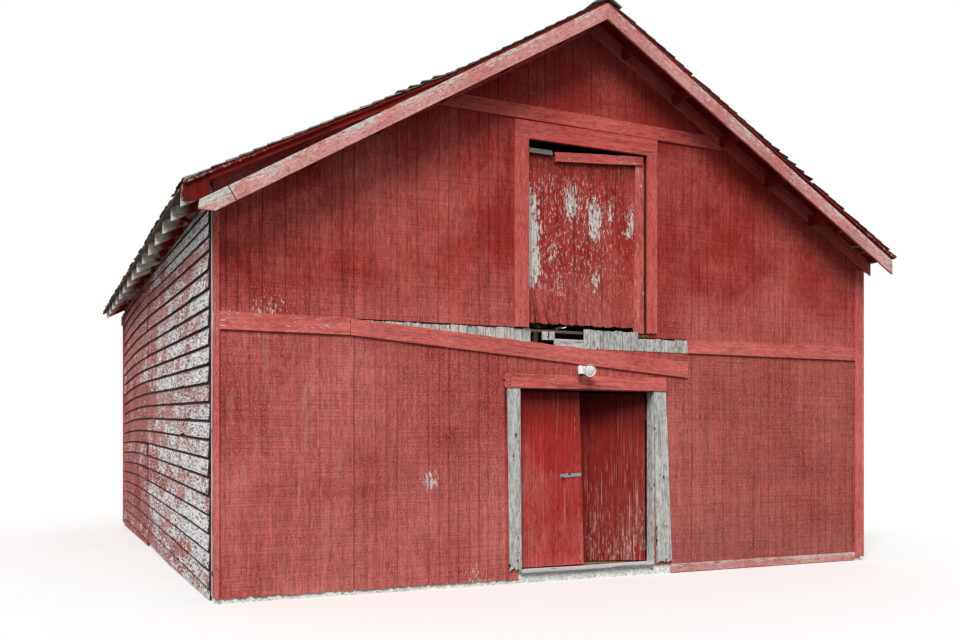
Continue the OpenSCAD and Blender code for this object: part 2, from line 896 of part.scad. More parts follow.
// The left end is clipped in two strokes, the right end is cut plumb with a blunt foot
module left_barge() {
    x0 = left_x - barge_past_left;
    lean = 12;
    nose_d = 76;
    clip_l = 125;
    x1 = x0 + clip_l;
    polygon([[x0, barge_top(x0)], [x0 - lean, barge_top(x0) - nose_d], [x1, barge_foot(x1)],
             [ridge_x, barge_foot(ridge_x)], [ridge_x, barge_top(ridge_x)]]);
}

module right_barge() {
    x0 = right_x + barge_past_right;
    blunt_w = 8;
    blunt_h = 12;
    polygon([[x0, barge_top(x0)], [x0 + blunt_w, barge_foot(x0) + blunt_h], [x0, barge_foot(x0)],
             [ridge_x, barge_foot(ridge_x)], [ridge_x, barge_top(ridge_x)]]);
}

module left_barge_board() {
    color("rosybrown") from_front(barge_front, barge_rear) left_barge();
}

module right_barge_board() {
    color("rosybrown") from_front(barge_front, barge_rear) right_barge();
}

// At the back both ends are cut plumb
module back_barge_boards() {
    color("rosybrown") from_front(-barge_rear, -barge_front) intersection() {
        union() {
            left_barge();
            right_barge();
        }
        translate([left_x, 0]) square([barn_w, 2 * ridge_h]);
    }
}

// The strips stop at the return board on the left
strip_x = left_x - 80;

module rake_strips() {
    middle_gap = 5;
    over = plumb(cover_t + deck_t);
    color("saddlebrown") from_front(barge_rear, barge_rear + trim_t) {
        roof_layer([strip_x + joint, kink_x, ridge_x - middle_gap], over, over + plumb(strip_d));
        roof_layer([ridge_x + middle_gap, right_x + barge_past_right], over, over + plumb(strip_d));
    }
}

module eave_return() {
    x0 = left_x - return_out;
    z0 = barge_top(strip_x) - return_lap;
    slant = 33;
    color("firebrick") from_front(barge_rear, barge_rear + trim_t)
        polygon([[x0, z0 - slant], [strip_x, z0], [strip_x, under_deck(strip_x)],
                 [x0, under_deck(x0)]]);
}

lookout_count = floor((barn_w / 2 - 200) / lookout_gap);
lookout_places = [for (i = [0 : lookout_count - 1], s = [-1, 1]) ridge_x + s * (i + 0.6) * lookout_gap];

module lookout(x, y0, y1) {
    below_strip = 8;
    top = plumb(strip_d) + below_strip;
    from_front(y0, y1)
        polygon([[x, barge_top(x) - top], [x + stick_t, barge_top(x + stick_t) - top],
                 [x + stick_t, barge_top(x + stick_t) - top - lookout_d],
                 [x, barge_top(x) - top - lookout_d]]);
}

module lookouts() {
    color("darkgray") {
        difference() {
            for (x = lookout_places) lookout(x, barge_rear, front_y);
            from_front(front_y - trim_t, front_y + 1) {
                roof_layer([left_x - 500, kink_x, ridge_x, right_x + 500], 0,
                           plumb(cover_t + deck_t + frieze_d) + seat);
                upper_belt();
            }
        }
        for (x = lookout_places) lookout(x, frame_back, -barge_rear);
    }
}

// Floodlight between the doorway's head board and the fallen belt board: a box, a lamp and a sensor

module floodlight() {
    box_w = 104;
    box_h = 84;
    box_d = 34;
    clear = 11;
    arm_in = 2;
    x = ridge_x - 60;
    z = header_z + header_d + clear + box_h / 2;
    base_y = front_y - box_d;
    color("white") {
        block(x - box_w / 2, x + box_w / 2, base_y, front_y, z - box_h / 2, z + box_h / 2);
        translate([x + 19, base_y + arm_in, z]) rotate([96, 0, -15]) rotate_extrude()
            polygon([[0, 0], [16, 0], [18, 45], [34, 62], [60, 104], [56, 116], [0, 122]]);
        translate([x - 38, base_y + arm_in, z + 10]) rotate([97, 0, -45]) rotate_extrude()
            polygon([[0, 0], [11, 0], [12, 54], [0, 54]]);
        translate([x - 80, base_y - 36, z + 36]) rotate([150, 0, -20]) rotate_extrude()
            polygon([[0, 0], [22, 0], [28, 20], [29, 104], [25, 112], [0, 114]]);
    }
}

sills();
floor_joists();
floor_boards();
side_frames();
back_frame();
front_frame();
door_lintel();
gable_frame();
loft_lintel();
loft_beam();
loft_joists();
loft_floor();
front_siding_left();
front_siding_right();
siding_over_door();
gable_siding_left();
gable_siding_right();
gable_siding_top();
old_boards();
left_clapboards();
right_clapboards();
back_clapboards();
corner_boards();
belt_boards();
fallen_belt_board();
door_casings();
door_jambs();
door_header();
threshold();
skirt_board();
loft_side_casings();
loft_top_casing();
loft_door();
loft_door_stops();
left_rafters();
right_rafters();
ridge_board();
left_deck();
right_deck();
left_shingles();
right_shingles();
ridge_cap();
rake_frieze();
rake_strips();
left_barge_board();
right_barge_board();
back_barge_boards();
lookouts();
eave_return();
floodlight();
hinge_pintles();
left_leaf();
left_leaf_iron();
right_leaf();
right_leaf_iron();
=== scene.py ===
"""An old red barn with a loft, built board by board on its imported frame."""

import functools
import math
import random

import bpy
from mathutils import Matrix, Vector, noise


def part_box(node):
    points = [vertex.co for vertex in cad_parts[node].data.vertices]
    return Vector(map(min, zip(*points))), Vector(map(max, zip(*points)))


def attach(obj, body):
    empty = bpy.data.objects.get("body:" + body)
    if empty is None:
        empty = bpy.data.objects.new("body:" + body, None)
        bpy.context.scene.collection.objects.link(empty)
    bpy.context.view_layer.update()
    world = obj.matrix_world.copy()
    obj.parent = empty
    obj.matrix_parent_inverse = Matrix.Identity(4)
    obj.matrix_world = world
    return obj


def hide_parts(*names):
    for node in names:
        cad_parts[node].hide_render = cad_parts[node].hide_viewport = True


bl_info = {
    "name": "Red barn",
    "version": (1, 0, 0),
    "blender": (4, 5, 0),
    "location": "View3D > Sidebar > Barn",
    "description": "Builds the boards, shingles, doors and finishes of an old red barn",
    "category": "Object",
}

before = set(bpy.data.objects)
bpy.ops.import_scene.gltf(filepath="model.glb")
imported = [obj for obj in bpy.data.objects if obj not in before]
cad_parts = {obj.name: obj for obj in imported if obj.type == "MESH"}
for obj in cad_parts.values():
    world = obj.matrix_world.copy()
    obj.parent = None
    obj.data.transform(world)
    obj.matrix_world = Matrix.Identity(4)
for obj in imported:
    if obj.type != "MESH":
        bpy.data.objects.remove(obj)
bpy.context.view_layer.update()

X, Y, Z = Vector((1, 0, 0)), Vector((0, 1, 0)), Vector((0, 0, 1))

# Faces of the walls and edges of the roof, from the frame
LEFT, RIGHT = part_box("front_siding_left")[0].x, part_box("front_siding_right")[1].x
FRONT, SHEET_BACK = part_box("front_siding_left")[0].y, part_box("front_siding_left")[1].y
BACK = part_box("back_clapboards")[1].y
RIDGE_X = (LEFT + RIGHT) / 2
ROOF_LEFT, ROOF_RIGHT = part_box("left_shingles")[0].x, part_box("right_shingles")[1].x
ROOF_FRONT, ROOF_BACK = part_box("left_shingles")[0].y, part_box("left_shingles")[1].y
CAP_THICK = 0.018
RIDGE_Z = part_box("ridge_cap")[1].z - CAP_THICK
STUD_FACE_LEFT, STUD_FACE_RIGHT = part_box("side_frames")[0].x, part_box("side_frames")[1].x
STUD_FACE_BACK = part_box("back_frame")[1].y
DOOR_LEFT, DOOR_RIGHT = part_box("threshold")[0].x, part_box("threshold")[1].x
LOFT_LEFT, LOFT_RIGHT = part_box("loft_lintel")[0].x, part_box("loft_lintel")[1].x
LOFT_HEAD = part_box("loft_side_casings")[1].z

# How far a board lies off the one behind it, and the back face of the trim on the front
SEAT = 0.0003
TRIM_BACK = FRONT - SEAT
CASING_WIDE, CASING_THICK, TRIM_THICK = 0.150, 0.025, 0.019
# Thickness of a leaf's boards, and how far its free edge is worn back at the head
LEAF_BOARD, LEAF_WORN = 0.025, 0.055
# Plumb depth of the boards along the gables, and the slope of each side's edge board
EDGE_DEEP = 0.132
EDGE_SLOPES = {-1: math.tan(math.radians(30.8)), 1: math.tan(math.radians(30.4))}
# The sun, the floor and the camera that stands where the photographer stood
SUN_STRENGTH, SUN_ANGLE, SUN_WAY = 3.1, math.radians(28), Vector((0.40, 0.58, -0.71))
SKY_STRENGTH, FLOOR_HALF = 0.55, 120
CAMERA_PLACE, CAMERA_YAW = (-4.9655, -12.566, 1.388), math.radians(-24.76)
LENS_MM, SENSOR_MM, LENS_SHIFT, FAR = 36.84, 36.0, 0.1233, 400


def srgb(red, green, blue):
    """A colour given in the 0 to 255 numbers of a paint chart, as linear light"""
    def one(value):
        v = value / 255
        return v / 12.92 if v <= 0.04045 else ((v + 0.055) / 1.055) ** 2.4
    return (one(red), one(green), one(blue))


def length(name, description, default):
    """A size in metres that a user may change"""
    return bpy.props.FloatProperty(name=name, description=description, default=default, unit="LENGTH")


def angle(name, description, degrees):
    """An angle that a user may change"""
    return bpy.props.FloatProperty(name=name, description=description, default=math.radians(degrees),
                                   subtype="ANGLE", unit="ROTATION")


def colour(name, description, *levels):
    """A colour that a user may change, given in the same numbers"""
    return bpy.props.FloatVectorProperty(name=name, description=description, default=srgb(*levels),
                                         size=3, min=0, max=1, subtype="COLOR")


class BarnRoofSizes(bpy.types.PropertyGroup):
    """Pitches, layers and shingles of the roof"""
    left_pitch: angle("Left pitch", "Pitch of the left slope above its sag", 30.7)
    sag_pitch: angle("Sagged pitch", "Pitch of the left slope below its sag", 27.5)
    right_pitch: angle("Right pitch", "Pitch of the right slope", 29.9)
    kink: length("Sag", "Level distance of the sag from the ridge", 1.5)
    cover: length("Cover", "Thickness of the shingle cover", 0.030)
    deck: length("Roof boards", "Thickness of the roof boards", 0.022)
    course: length("Course", "Level distance that a course of shingles shows", 0.112)
    shingle_width: length("Shingle width", "Middle width of a shingle", 0.125)
    ragged: length("Ragged", "How far a shingle's butt may lie back", 0.022)


class BarnWallSizes(bpy.types.PropertyGroup):
    """Sheets, lapped boards and trim"""
    sheet_width: length("Sheet width", "Width of a plywood sheet", 1.219)
    groove_gap: length("Groove spacing", "Spacing of the sheets' grooves", 0.1016)
    groove_depth: length("Groove depth", "Depth of the sheets' grooves", 0.005)
    groove_width: length("Groove width", "Width of the sheets' grooves", 0.006)
    lap_show: length("Board exposure", "Height that a lapped board shows", 0.155)
    lap_thick: length("Board thickness", "Thickness of a lapped board", 0.013)
    sag: length("Front sag", "How far the left wall's boards sag at the front corner", 0.128)
    sag_joint: length("Joint", "Place along the left wall where its boards butt", 0.70)


class BarnPaints(bpy.types.PropertyGroup):
    """Colours of paint, wood, roof and metal"""
    deep_red: colour("Deep red", "Paint kept from the sun", 150, 44, 40)
    barn_red: colour("Barn red", "Paint of the trim", 172, 68, 64)
    faded_red: colour("Faded red", "Paint bleached by the sun", 192, 100, 94)
    door_red: colour("Door red", "Paint of the door leaves", 164, 46, 41)
    shade_red: colour("Shade red", "Paint under the roof's edge", 118, 30, 28)
    board_pink: colour("Board pink", "Chalky first coat under the red", 204, 128, 124)
    pale_pink: colour("Pale pink", "Paint bleached almost white", 214, 160, 156)
    primer: colour("Primer", "Pale coat under the red paint", 226, 220, 214)
    silver_wood: colour("Silver wood", "Bare wood in the open", 198, 197, 193)
    dark_grain: colour("Dark grain", "Cracks and knots of bare wood", 72, 66, 60)
    sawn_wood: colour("Sawn wood", "Bare wood indoors", 142, 116, 90)
    sawn_grain: colour("Sawn grain", "Cracks and knots of wood indoors", 64, 46, 32)
    shingle_grey: colour("Shingle grey", "Weathered shingles", 112, 104, 96)
    shingle_dark: colour("Shingle dark", "Damp and mossy shingles", 58, 54, 48)
    zinc: colour("Zinc", "Galvanised ironwork", 176, 178, 178)
    rust: colour("Rust", "Rust on nails and ironwork", 110, 62, 40)
    enamel: colour("Enamel", "White enamel of the lamp", 232, 231, 226)


class Roof:
    """Heights of the roof's layers over a level place across the barn"""

    def __init__(self, sizes):
        self.sizes = sizes

    def pitch(self, x):
        if x > RIDGE_X:
            return self.sizes.right_pitch
        return self.sizes.left_pitch if RIDGE_X - x < self.sizes.kink else self.sizes.sag_pitch

    def top(self, x):
        away = abs(x - RIDGE_X)
        if x > RIDGE_X:
            return RIDGE_Z - math.tan(self.sizes.right_pitch) * away
        near = min(away, self.sizes.kink)
        return (RIDGE_Z - math.tan(self.sizes.left_pitch) * near
                - math.tan(self.sizes.sag_pitch) * (away - near))

    def plumb(self, thickness):
        return thickness / math.cos(self.sizes.right_pitch)

    def deck_top(self, x):
        return self.top(x) - self.plumb(self.sizes.cover)

    def under_deck(self, x):
        return self.deck_top(x) - self.plumb(self.sizes.deck)

    def axes(self, side, x):
        """Directions up the slope and out of it"""
        pitch = self.pitch(x)
        return (Vector((-side * math.cos(pitch), 0, math.sin(pitch))),
                Vector((side * math.sin(pitch), 0, math.cos(pitch))))


def stand(name, data):
    """Puts a new object in the scene"""
    made = bpy.data.objects.new(name, data)
    bpy.context.scene.collection.objects.link(made)
    return made


class Shape:
    """Closed solids gathered for one piece, each with its own place in the grain of the wood"""

    def __init__(self, seed=1):
        self.points, self.faces, self.grain, self.rim, self.slots = [], [], [], [], []
        self.chance = random.Random(seed)

    def add(self, points, faces, grain=None, rim=None, slot=0, turned=False):
        first = len(self.points)
        away = Vector([self.chance.uniform(0, 40) for _ in range(3)])
        self.points += [Vector(p) for p in points]
        self.grain += [Vector(g) + away for g in (grain or points)]
        self.rim += rim or [(0.5, 1.0, self.chance.random())] * len(points)
        for face in faces:
            ids = [first + i for i in face]
            self.faces.append(ids[::-1] if turned else ids)
            self.slots.append(slot)

    def moved(self, matrix):
        """Moves every point, and keeps the faces outward when the move mirrors them"""
        self.points = [matrix @ p for p in self.points]
        if matrix.determinant() < 0:
            self.faces = [f[::-1] for f in self.faces]
        return self

    def piece(self, name, finishes, slot, *replaces, body="barn", smooth=0):
        """Makes the piece and says which body it rides on and the CAD nodes it replaces. Its slot is not used.
        """
        mesh = bpy.data.meshes.new(name)
        mesh.from_pydata([tuple(p) for p in self.points], [], self.faces)
        for key, rows in (("grain", self.grain), ("rim", self.rim)):
            held = mesh.attributes.new(key, "FLOAT_VECTOR", "POINT")
            held.data.foreach_set("vector", [v for row in rows for v in row])
        for material in finishes if isinstance(finishes, list) else [finishes]:
            mesh.materials.append(material)
        mesh.polygons.foreach_set("material_index", self.slots)
        mesh.update()
        made = stand(name, mesh)
        if smooth:
            mesh.shade_smooth()
            mesh.set_sharp_from_angle(angle=math.radians(smooth))
        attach(made, body)
        if replaces:
            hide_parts(*replaces)


def plank(shape, corner, along, across, out, width, thick, start=0.0, end=1.0, rings=4, strands=1,
          chamfer=0.002, shift=None, slot=0):
    """One board: its back lies on corner, start and end may depend on the place across it"""
    c = min(chamfer, width * 0.3, thick * 0.3)
    row = [c + (width - 2 * c) * i / strands for i in range(strands + 1)]
    profile = ([(a, thick) for a in row] + [(width, thick - c), (width, c)]
               + [(a, 0.0) for a in reversed(row)] + [(0.0, c), (0.0, thick - c)])
    first = start if callable(start) else lambda a: start
    last = end if callable(end) else lambda a: end
    middle = width / 2
    whole = last(middle) - first(middle)
    points, grain, rim = [], [], []
    tone = shape.chance.random()
    for ring in range(rings + 1):
        share = ring / rings
        for a, o in profile:
            s = first(a) + share * (last(a) - first(a))
            move = shift(s, a, o) if shift else (0, 0, 0)
            points.append(corner + along * (s + move[0]) + across * (a + move[1]) + out * (o + move[2]))
            grain.append((s, a, o))
            rim.append((a / width, min(share, 1 - share) * whole, tone))
    count = len(profile)
    faces = []
    for ring in range(rings):
        for i in range(count):
            j = (i + 1) % count
            faces.append((ring * count + i, (ring + 1) * count + i, (ring + 1) * count + j, ring * count + j))
    front = list(range(strands + 1))
    right = [strands + 1, strands + 2]
    back = list(range(strands + 3, 2 * strands + 4))[::-1]
    left = [2 * strands + 4, 2 * strands + 5]
    cap = [(front[i], front[i + 1], back[i + 1], back[i]) for i in range(strands)]
    cap += [(left[1], front[0], back[0], left[0]), (front[-1], right[0], right[1], back[-1])]
    top = rings * count
    faces += cap + [tuple(top + i for i in reversed(face)) for face in cap]
    shape.add(points, faces, grain, rim, slot, along.cross(across).dot(out) < 0)


def ragged(chance, depth, at=0.0, sign=1, steps=24):
    """A broken end: a place along the board for each place across it"""
    kinks = [chance.uniform(0, depth) for _ in range(steps)]

    def end(a):
        where = a * 140
        i = int(where)
        t = where - i
        return at + sign * (kinks[i % steps] * (1 - t) + kinks[(i + 1) % steps] * t)
    return end


def ripple(run, *seeds):
    """Smooth noise between about -1 and 1 at a place along a board"""
    return noise.noise(Vector((run, *seeds)))


def wavy(amount, seed):
    """A slight bend along a board, in the plane of its face and out of it"""
    def shift(s, a, o):
        return (0, amount * ripple(s * 1.1, seed, 3.1), amount * 0.6 * ripple(s * 1.1, seed, 9.7))
    return shift


def turned_form(shape, place, axis, rows, sides=24, slot=0):
    """A solid of revolution: rows give radius and height along the axis, closed at both ends"""
    axis = axis.normalized()
    side = (Z if abs(axis.z) < 0.9 else X).cross(axis).normalized()
    other = axis.cross(side)
    points, faces = [], []
    for radius, height in rows:
        for i in range(sides):
            turn = math.tau * i / sides
            points.append(place + axis * height + (side * math.cos(turn) + other * math.sin(turn)) * radius)
    for r in range(len(rows) - 1):
        for i in range(sides):
            j = (i + 1) % sides
            faces.append((r * sides + i, r * sides + j, (r + 1) * sides + j, (r + 1) * sides + i))
    faces.append(tuple(range(sides - 1, -1, -1)))
    last = (len(rows) - 1) * sides
    faces.append(tuple(last + i for i in range(sides)))
    shape.add(points, faces, slot=slot)


def nail(shape, place, out, radius=0.0045, proud=0.0012, slot=0):
    """The head of a nail or screw, standing proud of the face that place lies on"""
    turned_form(shape, Vector(place), out,
                [(radius * 0.8, -0.001), (radius, proud * 0.4), (radius * 0.55, proud)], 8, slot)


class Field:
    """A number, vector or colour that varies over a surface. Sums and products add their own nodes."""

    def __init__(self, finish, socket):
        self.finish, self.socket = finish, socket

    def _with(self, operation, first, second):
        kinds = {f.socket.type for f in (first, second) if isinstance(f, Field)}
        if "RGBA" in kinds:
            return self.finish.node("Mix", {"data_type": "RGBA", "blend_type": operation},
                                    {0: 1.0, 6: colour_of(first), 7: colour_of(second)}, 2)
        if "VECTOR" in kinds:
            return self.finish.node("VectorMath", {"operation": operation},
                                    {0: vector_of(first), 1: vector_of(second)})
        return self.finish.node("Math", {"operation": operation}, {0: first, 1: second})

    def __add__(self, other):
        return self._with("ADD", self, other)

    def __radd__(self, other):
        return self._with("ADD", other, self)

    def __sub__(self, other):
        return self._with("SUBTRACT", self, other)

    def __rsub__(self, other):
        return self._with("SUBTRACT", other, self)

    def __mul__(self, other):
        return self._with("MULTIPLY", self, other)

    def __rmul__(self, other):
        return self._with("MULTIPLY", other, self)

    def most(self, other):
        return self.finish.node("Math", {"operation": "MAXIMUM"}, {0: self, 1: other})

    def size(self):
        return self.finish.node("Math", {"operation": "ABSOLUTE"}, {0: self})

    def sine(self):
        return self.finish.node("Math", {"operation": "SINE"}, {0: self})

    def line(self, width):
        """1 along the thin lines where a noise crosses its middle"""
        return 1 - (self - 0.5).size().rise(0.0, width)

    def rise(self, low, high):
        """0 below low, 1 above high and a soft step between them"""
        return self.finish.node("MapRange", {"interpolation_type": "SMOOTHSTEP", "clamp": True},
                                {"Value": self, "From Min": low, "From Max": high})

    def blend(self, none, full):
        """The colour none where this is 0 and full where it is 1"""
        return self.finish.node("Mix", {"data_type": "RGBA", "blend_type": "MIX"},
                                {0: self, 6: colour_of(none), 7: colour_of(full)}, 2)

    def near(self, place, radius):
        """1 at a place on the object, 0 beyond a radius from it"""
        away = self.finish.node("VectorMath", {"operation": "DISTANCE"}, {0: self, 1: place}, 1)
        return 1 - away.rise(0.0, radius)


def colour_of(value):
    """A number or a colour as a colour with alpha; a Field stays one"""
    if isinstance(value, (int, float)):
        return (value, value, value, 1.0)
    return value if isinstance(value, Field) else (*value[:3], 1.0)


def vector_of(value):
    """A number as a vector of three like parts; anything else stays as it is"""
    return (value,) * 3 if isinstance(value, (int, float)) else value


class Nodes:
    """A node tree being made. Every node comes from node()."""

    def __init__(self, tree):
        self.tree = tree

    def node(self, kind, settings=None, inputs=None, out=0):
        made = self.tree.nodes.new("ShaderNode" + kind)
        for key, value in (settings or {}).items():
            setattr(made, key, value)
        for key, value in (inputs or {}).items():
            if isinstance(value, Field):
                self.tree.links.new(value.socket, made.inputs[key])
            else:
                made.inputs[key].default_value = value
        return Field(self, made.outputs[out])

    def link(self, field, node, socket):
        self.tree.links.new(field.socket, node.inputs[socket])


class Finish(Nodes):
    """A material being made. Its grain and rim are vectors that Shape keeps on each point. With an axis it is
    for the sticks of a CAD piece, and each stick in it has its own start and tone along that axis."""

    def __init__(self, name, roughness, axis=None, **constants):
        self.material = bpy.data.materials.new(name)
        self.material.use_nodes = True
        super().__init__(self.material.node_tree)
        self.shader = self.tree.nodes["Principled BSDF"]
        for key, value in {"Roughness": roughness, "Specular_IOR_Level": 0.08, **constants}.items():
            self.shader.inputs[key.replace("_", " ")].default_value = value
        self.paints = bpy.context.scene.barn_paints
        self.place = self.node("TexCoord", out="Object")
        self.x, self.y, self.z = self.parts(self.place)
        if axis:
            self.tone = self.node("NewGeometry", out="Random Per Island")
            turn = "xyz".index(axis)
            first, second, third = (self.x, self.y, self.z, self.x, self.y)[turn:turn + 3]
            self.grain = self.node("CombineXYZ", None,
                                   {0: first + self.tone * 9.0, 1: second + self.tone * 5.0, 2: third})
        else:
            self.grain = self.held("grain")
            self.low, self.out, self.tone = self.parts(self.held("rim"))

    def held(self, name):
        return self.node("Attribute", {"attribute_type": "GEOMETRY", "attribute_name": name}, out="Vector")

    def parts(self, vector):
        split = self.node("SeparateXYZ", None, {0: vector})
        return split, Field(self, split.socket.node.outputs[1]), Field(self, split.socket.node.outputs[2])

    def noise(self, place, detail, roughness):
        return self.node("TexNoise", {"noise_dimensions": "3D"},
                         {"Vector": place, "Scale": 1.0, "Detail": detail, "Roughness": roughness})

    def clouds(self, scale, detail=3, roughness=0.6):
        """Noise over the object, with one scale or one for each axis"""
        return self.noise(self.place * scale, detail, roughness)

    def fibres(self, along, across, detail=3, roughness=0.6, start=0.0):
        """Noise drawn out along the grain"""
        place = self.grain * (along, across, across)
        return self.noise(place + start if start else place, detail, roughness)

    def bare_wood(self, pale, dark, knots=1.0, grit=0.2):
        """Colour and relief of bare weathered wood; grit is how much of it is speckled dark"""
        line = self.fibres(2.6, 80, 5, 0.65)
        speck = self.fibres(15, 62, 4, 0.7).rise(0.44, 0.62) * grit
        split = self.fibres(1.4, 46, 6, 0.7).rise(0.59, 0.64)
        spot = self.fibres(9.0, 22, 1, 0.4).rise(0.745 - 0.02 * knots, 0.775 - 0.02 * knots)
        shade = 0.50 + 0.50 * self.fibres(0.9, 16, 3, 0.5) + 0.52 * line + 0.20 * (self.tone - 0.5)
        wood = (split * 0.62).most(spot).most(speck).blend(pale, dark) * shade
        return wood, line * 0.5 - split * 0.7 - spot * 0.4 - speck * 0.3

    def old_paint(self, wear, fade, coats, streak=1.0, chips=(7, 34)):
        """Colour, roughness and relief of paint worn by weather: wear and fade run from 0 to 1, and coats are
        the fresh and the faded paint, what lies under it and the bare wood"""
        fresh, faded, under, pale = coats
        band = self.fibres(1.6, 26, 4)
        mottle = self.fibres(13, 48, 3, 0.65)
        fine = self.fibres(9, 170)
        dust = self.clouds(72.0, 2, 0.7)
        cloud = self.clouds(1.3, 4)
        wood, rough_wood = self.bare_wood(pale, self.paints.dark_grain)
        edge = self.fibres(*chips, 7, 0.72) + wear - 1.0
        lost = edge.rise(0.0, 0.02)
        bare = edge.rise(0.035, 0.075)
        paint = (fade + (cloud - 0.5) * 1.9 + (mottle - 0.5) * 0.7).blend(fresh, faded)
        shade = streak * ((band - 0.5) * 1.0 + (mottle - 0.5) * 0.95) + (fine - 0.5) * 0.42
        shade = shade + (self.tone - 0.5) * 0.10 + (dust - 0.5) * 1.05
        height = (fine * 0.25 + band * 0.25 + mottle * 0.3 - lost * 0.35 - bare * 0.25
                  + bare * rough_wood * 0.4)
        return (bare.blend(lost.blend(paint * (1.0 + shade), under), wood),
                0.62 + 0.22 * lost + 0.12 * fine, height)

    def shaded_paint(self, wear):
        """Old paint that the sun doesn't reach"""
        p = self.paints
        return self.old_paint(wear, 0.2, (p.shade_red, p.deep_red, p.silver_wood, p.silver_wood), 0.8)

    def show(self, colour, roughness=None, relief=None, depth=0.003, metallic=None):
        """Feeds the shader with what changes over the surface, and gives the material"""
        fed = {"Base Color": colour, "Roughness": roughness, "Metallic": metallic}
        if relief is not None:
            fed["Normal"] = self.node("Bump", None, {"Height": relief, "Distance": depth, "Strength": 1.0})
        for socket, field in fed.items():
            if field is not None:
                self.link(field, self.shader, socket)
        return self.material

    def show_wood(self, colour, relief, depth=0.003):
        return self.show(colour, 0.8 + 0.1 * self.tone, relief, depth)


def finish(make):
    """Makes each finish once, from the scene's paints"""
    @functools.cache
    def once(*options):
        return make(bpy.context.scene.barn_paints, *options)
    return once


@finish
def sheet_paint(p):
    f = Finish("sheet_paint", 0.8)
    on_right = f.x.rise(0.9, 1.3)
    right, low = on_right * (1 - f.z.rise(2.2, 2.4)), on_right * (1 - f.z.rise(0.3, 0.8))
    saw = f.clouds((0.5, 0.5, 50), 2, 0.5).line(0.055)
    thread = f.fibres(0.4, 26, 2, 0.5).line(0.045)
    first = (1 - f.x.rise(LEFT + 1.215, LEFT + 1.222)) * (1 - f.z.rise(2.30, 2.35))
    patch = f.clouds((2.2, 2.2, 1.1))
    spots = (1 - f.z.rise(0.08, 0.42)) * patch.rise(0.40, 0.62) * 0.16
    for x, z, radius, much in ((-1.61, 1.01, 0.24, 0.30), (-1.15, 0.10, 0.50, 0.22), (1.53, 1.20, 0.34, 0.16),
                               (2.21, 1.34, 0.20, 0.14), (3.40, 1.52, 0.22, 0.12), (-3.10, 2.45, 0.55, 0.24),
                               (-2.70, 3.15, 0.30, 0.12), (-0.95, 3.05, 0.30, 0.12)):
        spots = spots.most(f.place.near((x, FRONT, z), radius) * much)
    # The fade falls with height, so the sheets are deeper red higher up: partly sun fade, partly painted shade
    # under the roof
    paint, rough, height = f.old_paint(0.19 + 0.06 * patch + spots, 0.86 - f.z * 0.16,
                                       (p.deep_red, p.faded_red, p.primer, p.silver_wood), 0.8, (13, 52))
    veneer = (f.clouds((1.9, 1.9, 0.45), 2, 0.45) * 150.0).sine()
    veneer = veneer * (0.02 + 0.11 * first) * patch.rise(0.38, 0.66)
    paint = paint * (1.08 - 0.16 * right - 0.13 * low - 0.20 * saw - 0.18 * thread + veneer)
    flame = f.clouds((11, 11, 1.3), 5, 0.7).rise(0.50, 0.66) * first * 0.30
    flame = flame * f.fibres(6, 60, 3, 0.7).rise(0.36, 0.58)
    speck = f.clouds(66.0, 3, 0.75).rise(0.53, 0.64) * (0.40 - 0.28 * f.z.rise(2.4, 3.0))
    # f.out is how deep a groove is, as a share of the full depth: the grooves are darkened, as painted shade
    paint = speck.most(flame).blend(paint, p.pale_pink) * (1 - 0.62 * f.out)
    return f.show(paint, rough, height - saw * 0.5 - thread * 0.3 + veneer * 3.0, 0.0022)


@finish
def trim_paint(p, more=0.0):
    """Trim, with more wear where more is above 0"""
    f = Finish("trim_paint_%d" % (more * 100), 0.8)
    patch = f.clouds(1.7)
    left_belt = 0.15 * (1 - f.x.rise(-2.5, -2.3)) * f.z.rise(2.2, 2.3) * (1 - f.z.rise(2.46, 2.5))
    # The fade falls with height, so the trim is deeper red higher up: partly sun fade, partly painted shade
    # under the roof
    paint, rough, height = f.old_paint(0.215 + more + 0.155 * patch + left_belt, 1.16 - f.z * 0.17,
                                       (p.barn_red, p.faded_red, p.board_pink, p.silver_wood), 0.95, (12, 50))
    crack = f.fibres(1.1, 20).line(0.016 + more * 0.2) * patch.rise(0.40 - more, 0.56)
    return f.show(paint * (1.14 - 0.60 * crack), rough, height - crack * 0.5, 0.002)


@finish
def edge_paint(p):
    f = Finish("edge_paint", 0.8)
    wear = 0.365 + 0.36 * (f.clouds(2.6) - 0.5) + 0.14 * f.low.rise(0.35, 0.95)
    paint, rough, height = f.old_paint(wear + (1 - f.x.rise(-3.45, -3.42)) * 0.10, 0.62,
                                       (p.faded_red, p.pale_pink, p.primer, p.silver_wood), 0.8, (15, 56))
    speck = f.fibres(22, 70, 3, 0.7).rise(0.56, 0.64)
    return f.show((speck * 0.65).blend(paint, srgb(96, 64, 58)), rough, height)


@finish
def return_paint(p):
    f = Finish("return_paint", 0.8)
    paint, rough, height = f.old_paint(0.20 + 0.40 * (1 - f.low.rise(0.02, 0.10)), -0.35,
                                       (p.deep_red, p.faded_red, p.primer, p.silver_wood), 1.0, (12, 50))
    return f.show(paint * (0.44, 0.36, 0.33), rough, height, 0.002)


@finish
def soffit_paint(p, axis=None):
    f = Finish("painted_stick_" + axis if axis else "soffit_paint", 0.85, axis)
    return f.show(*f.shaded_paint((0.22 if axis else 0.12) + 0.14 * f.clouds(2.0)), 0.002)


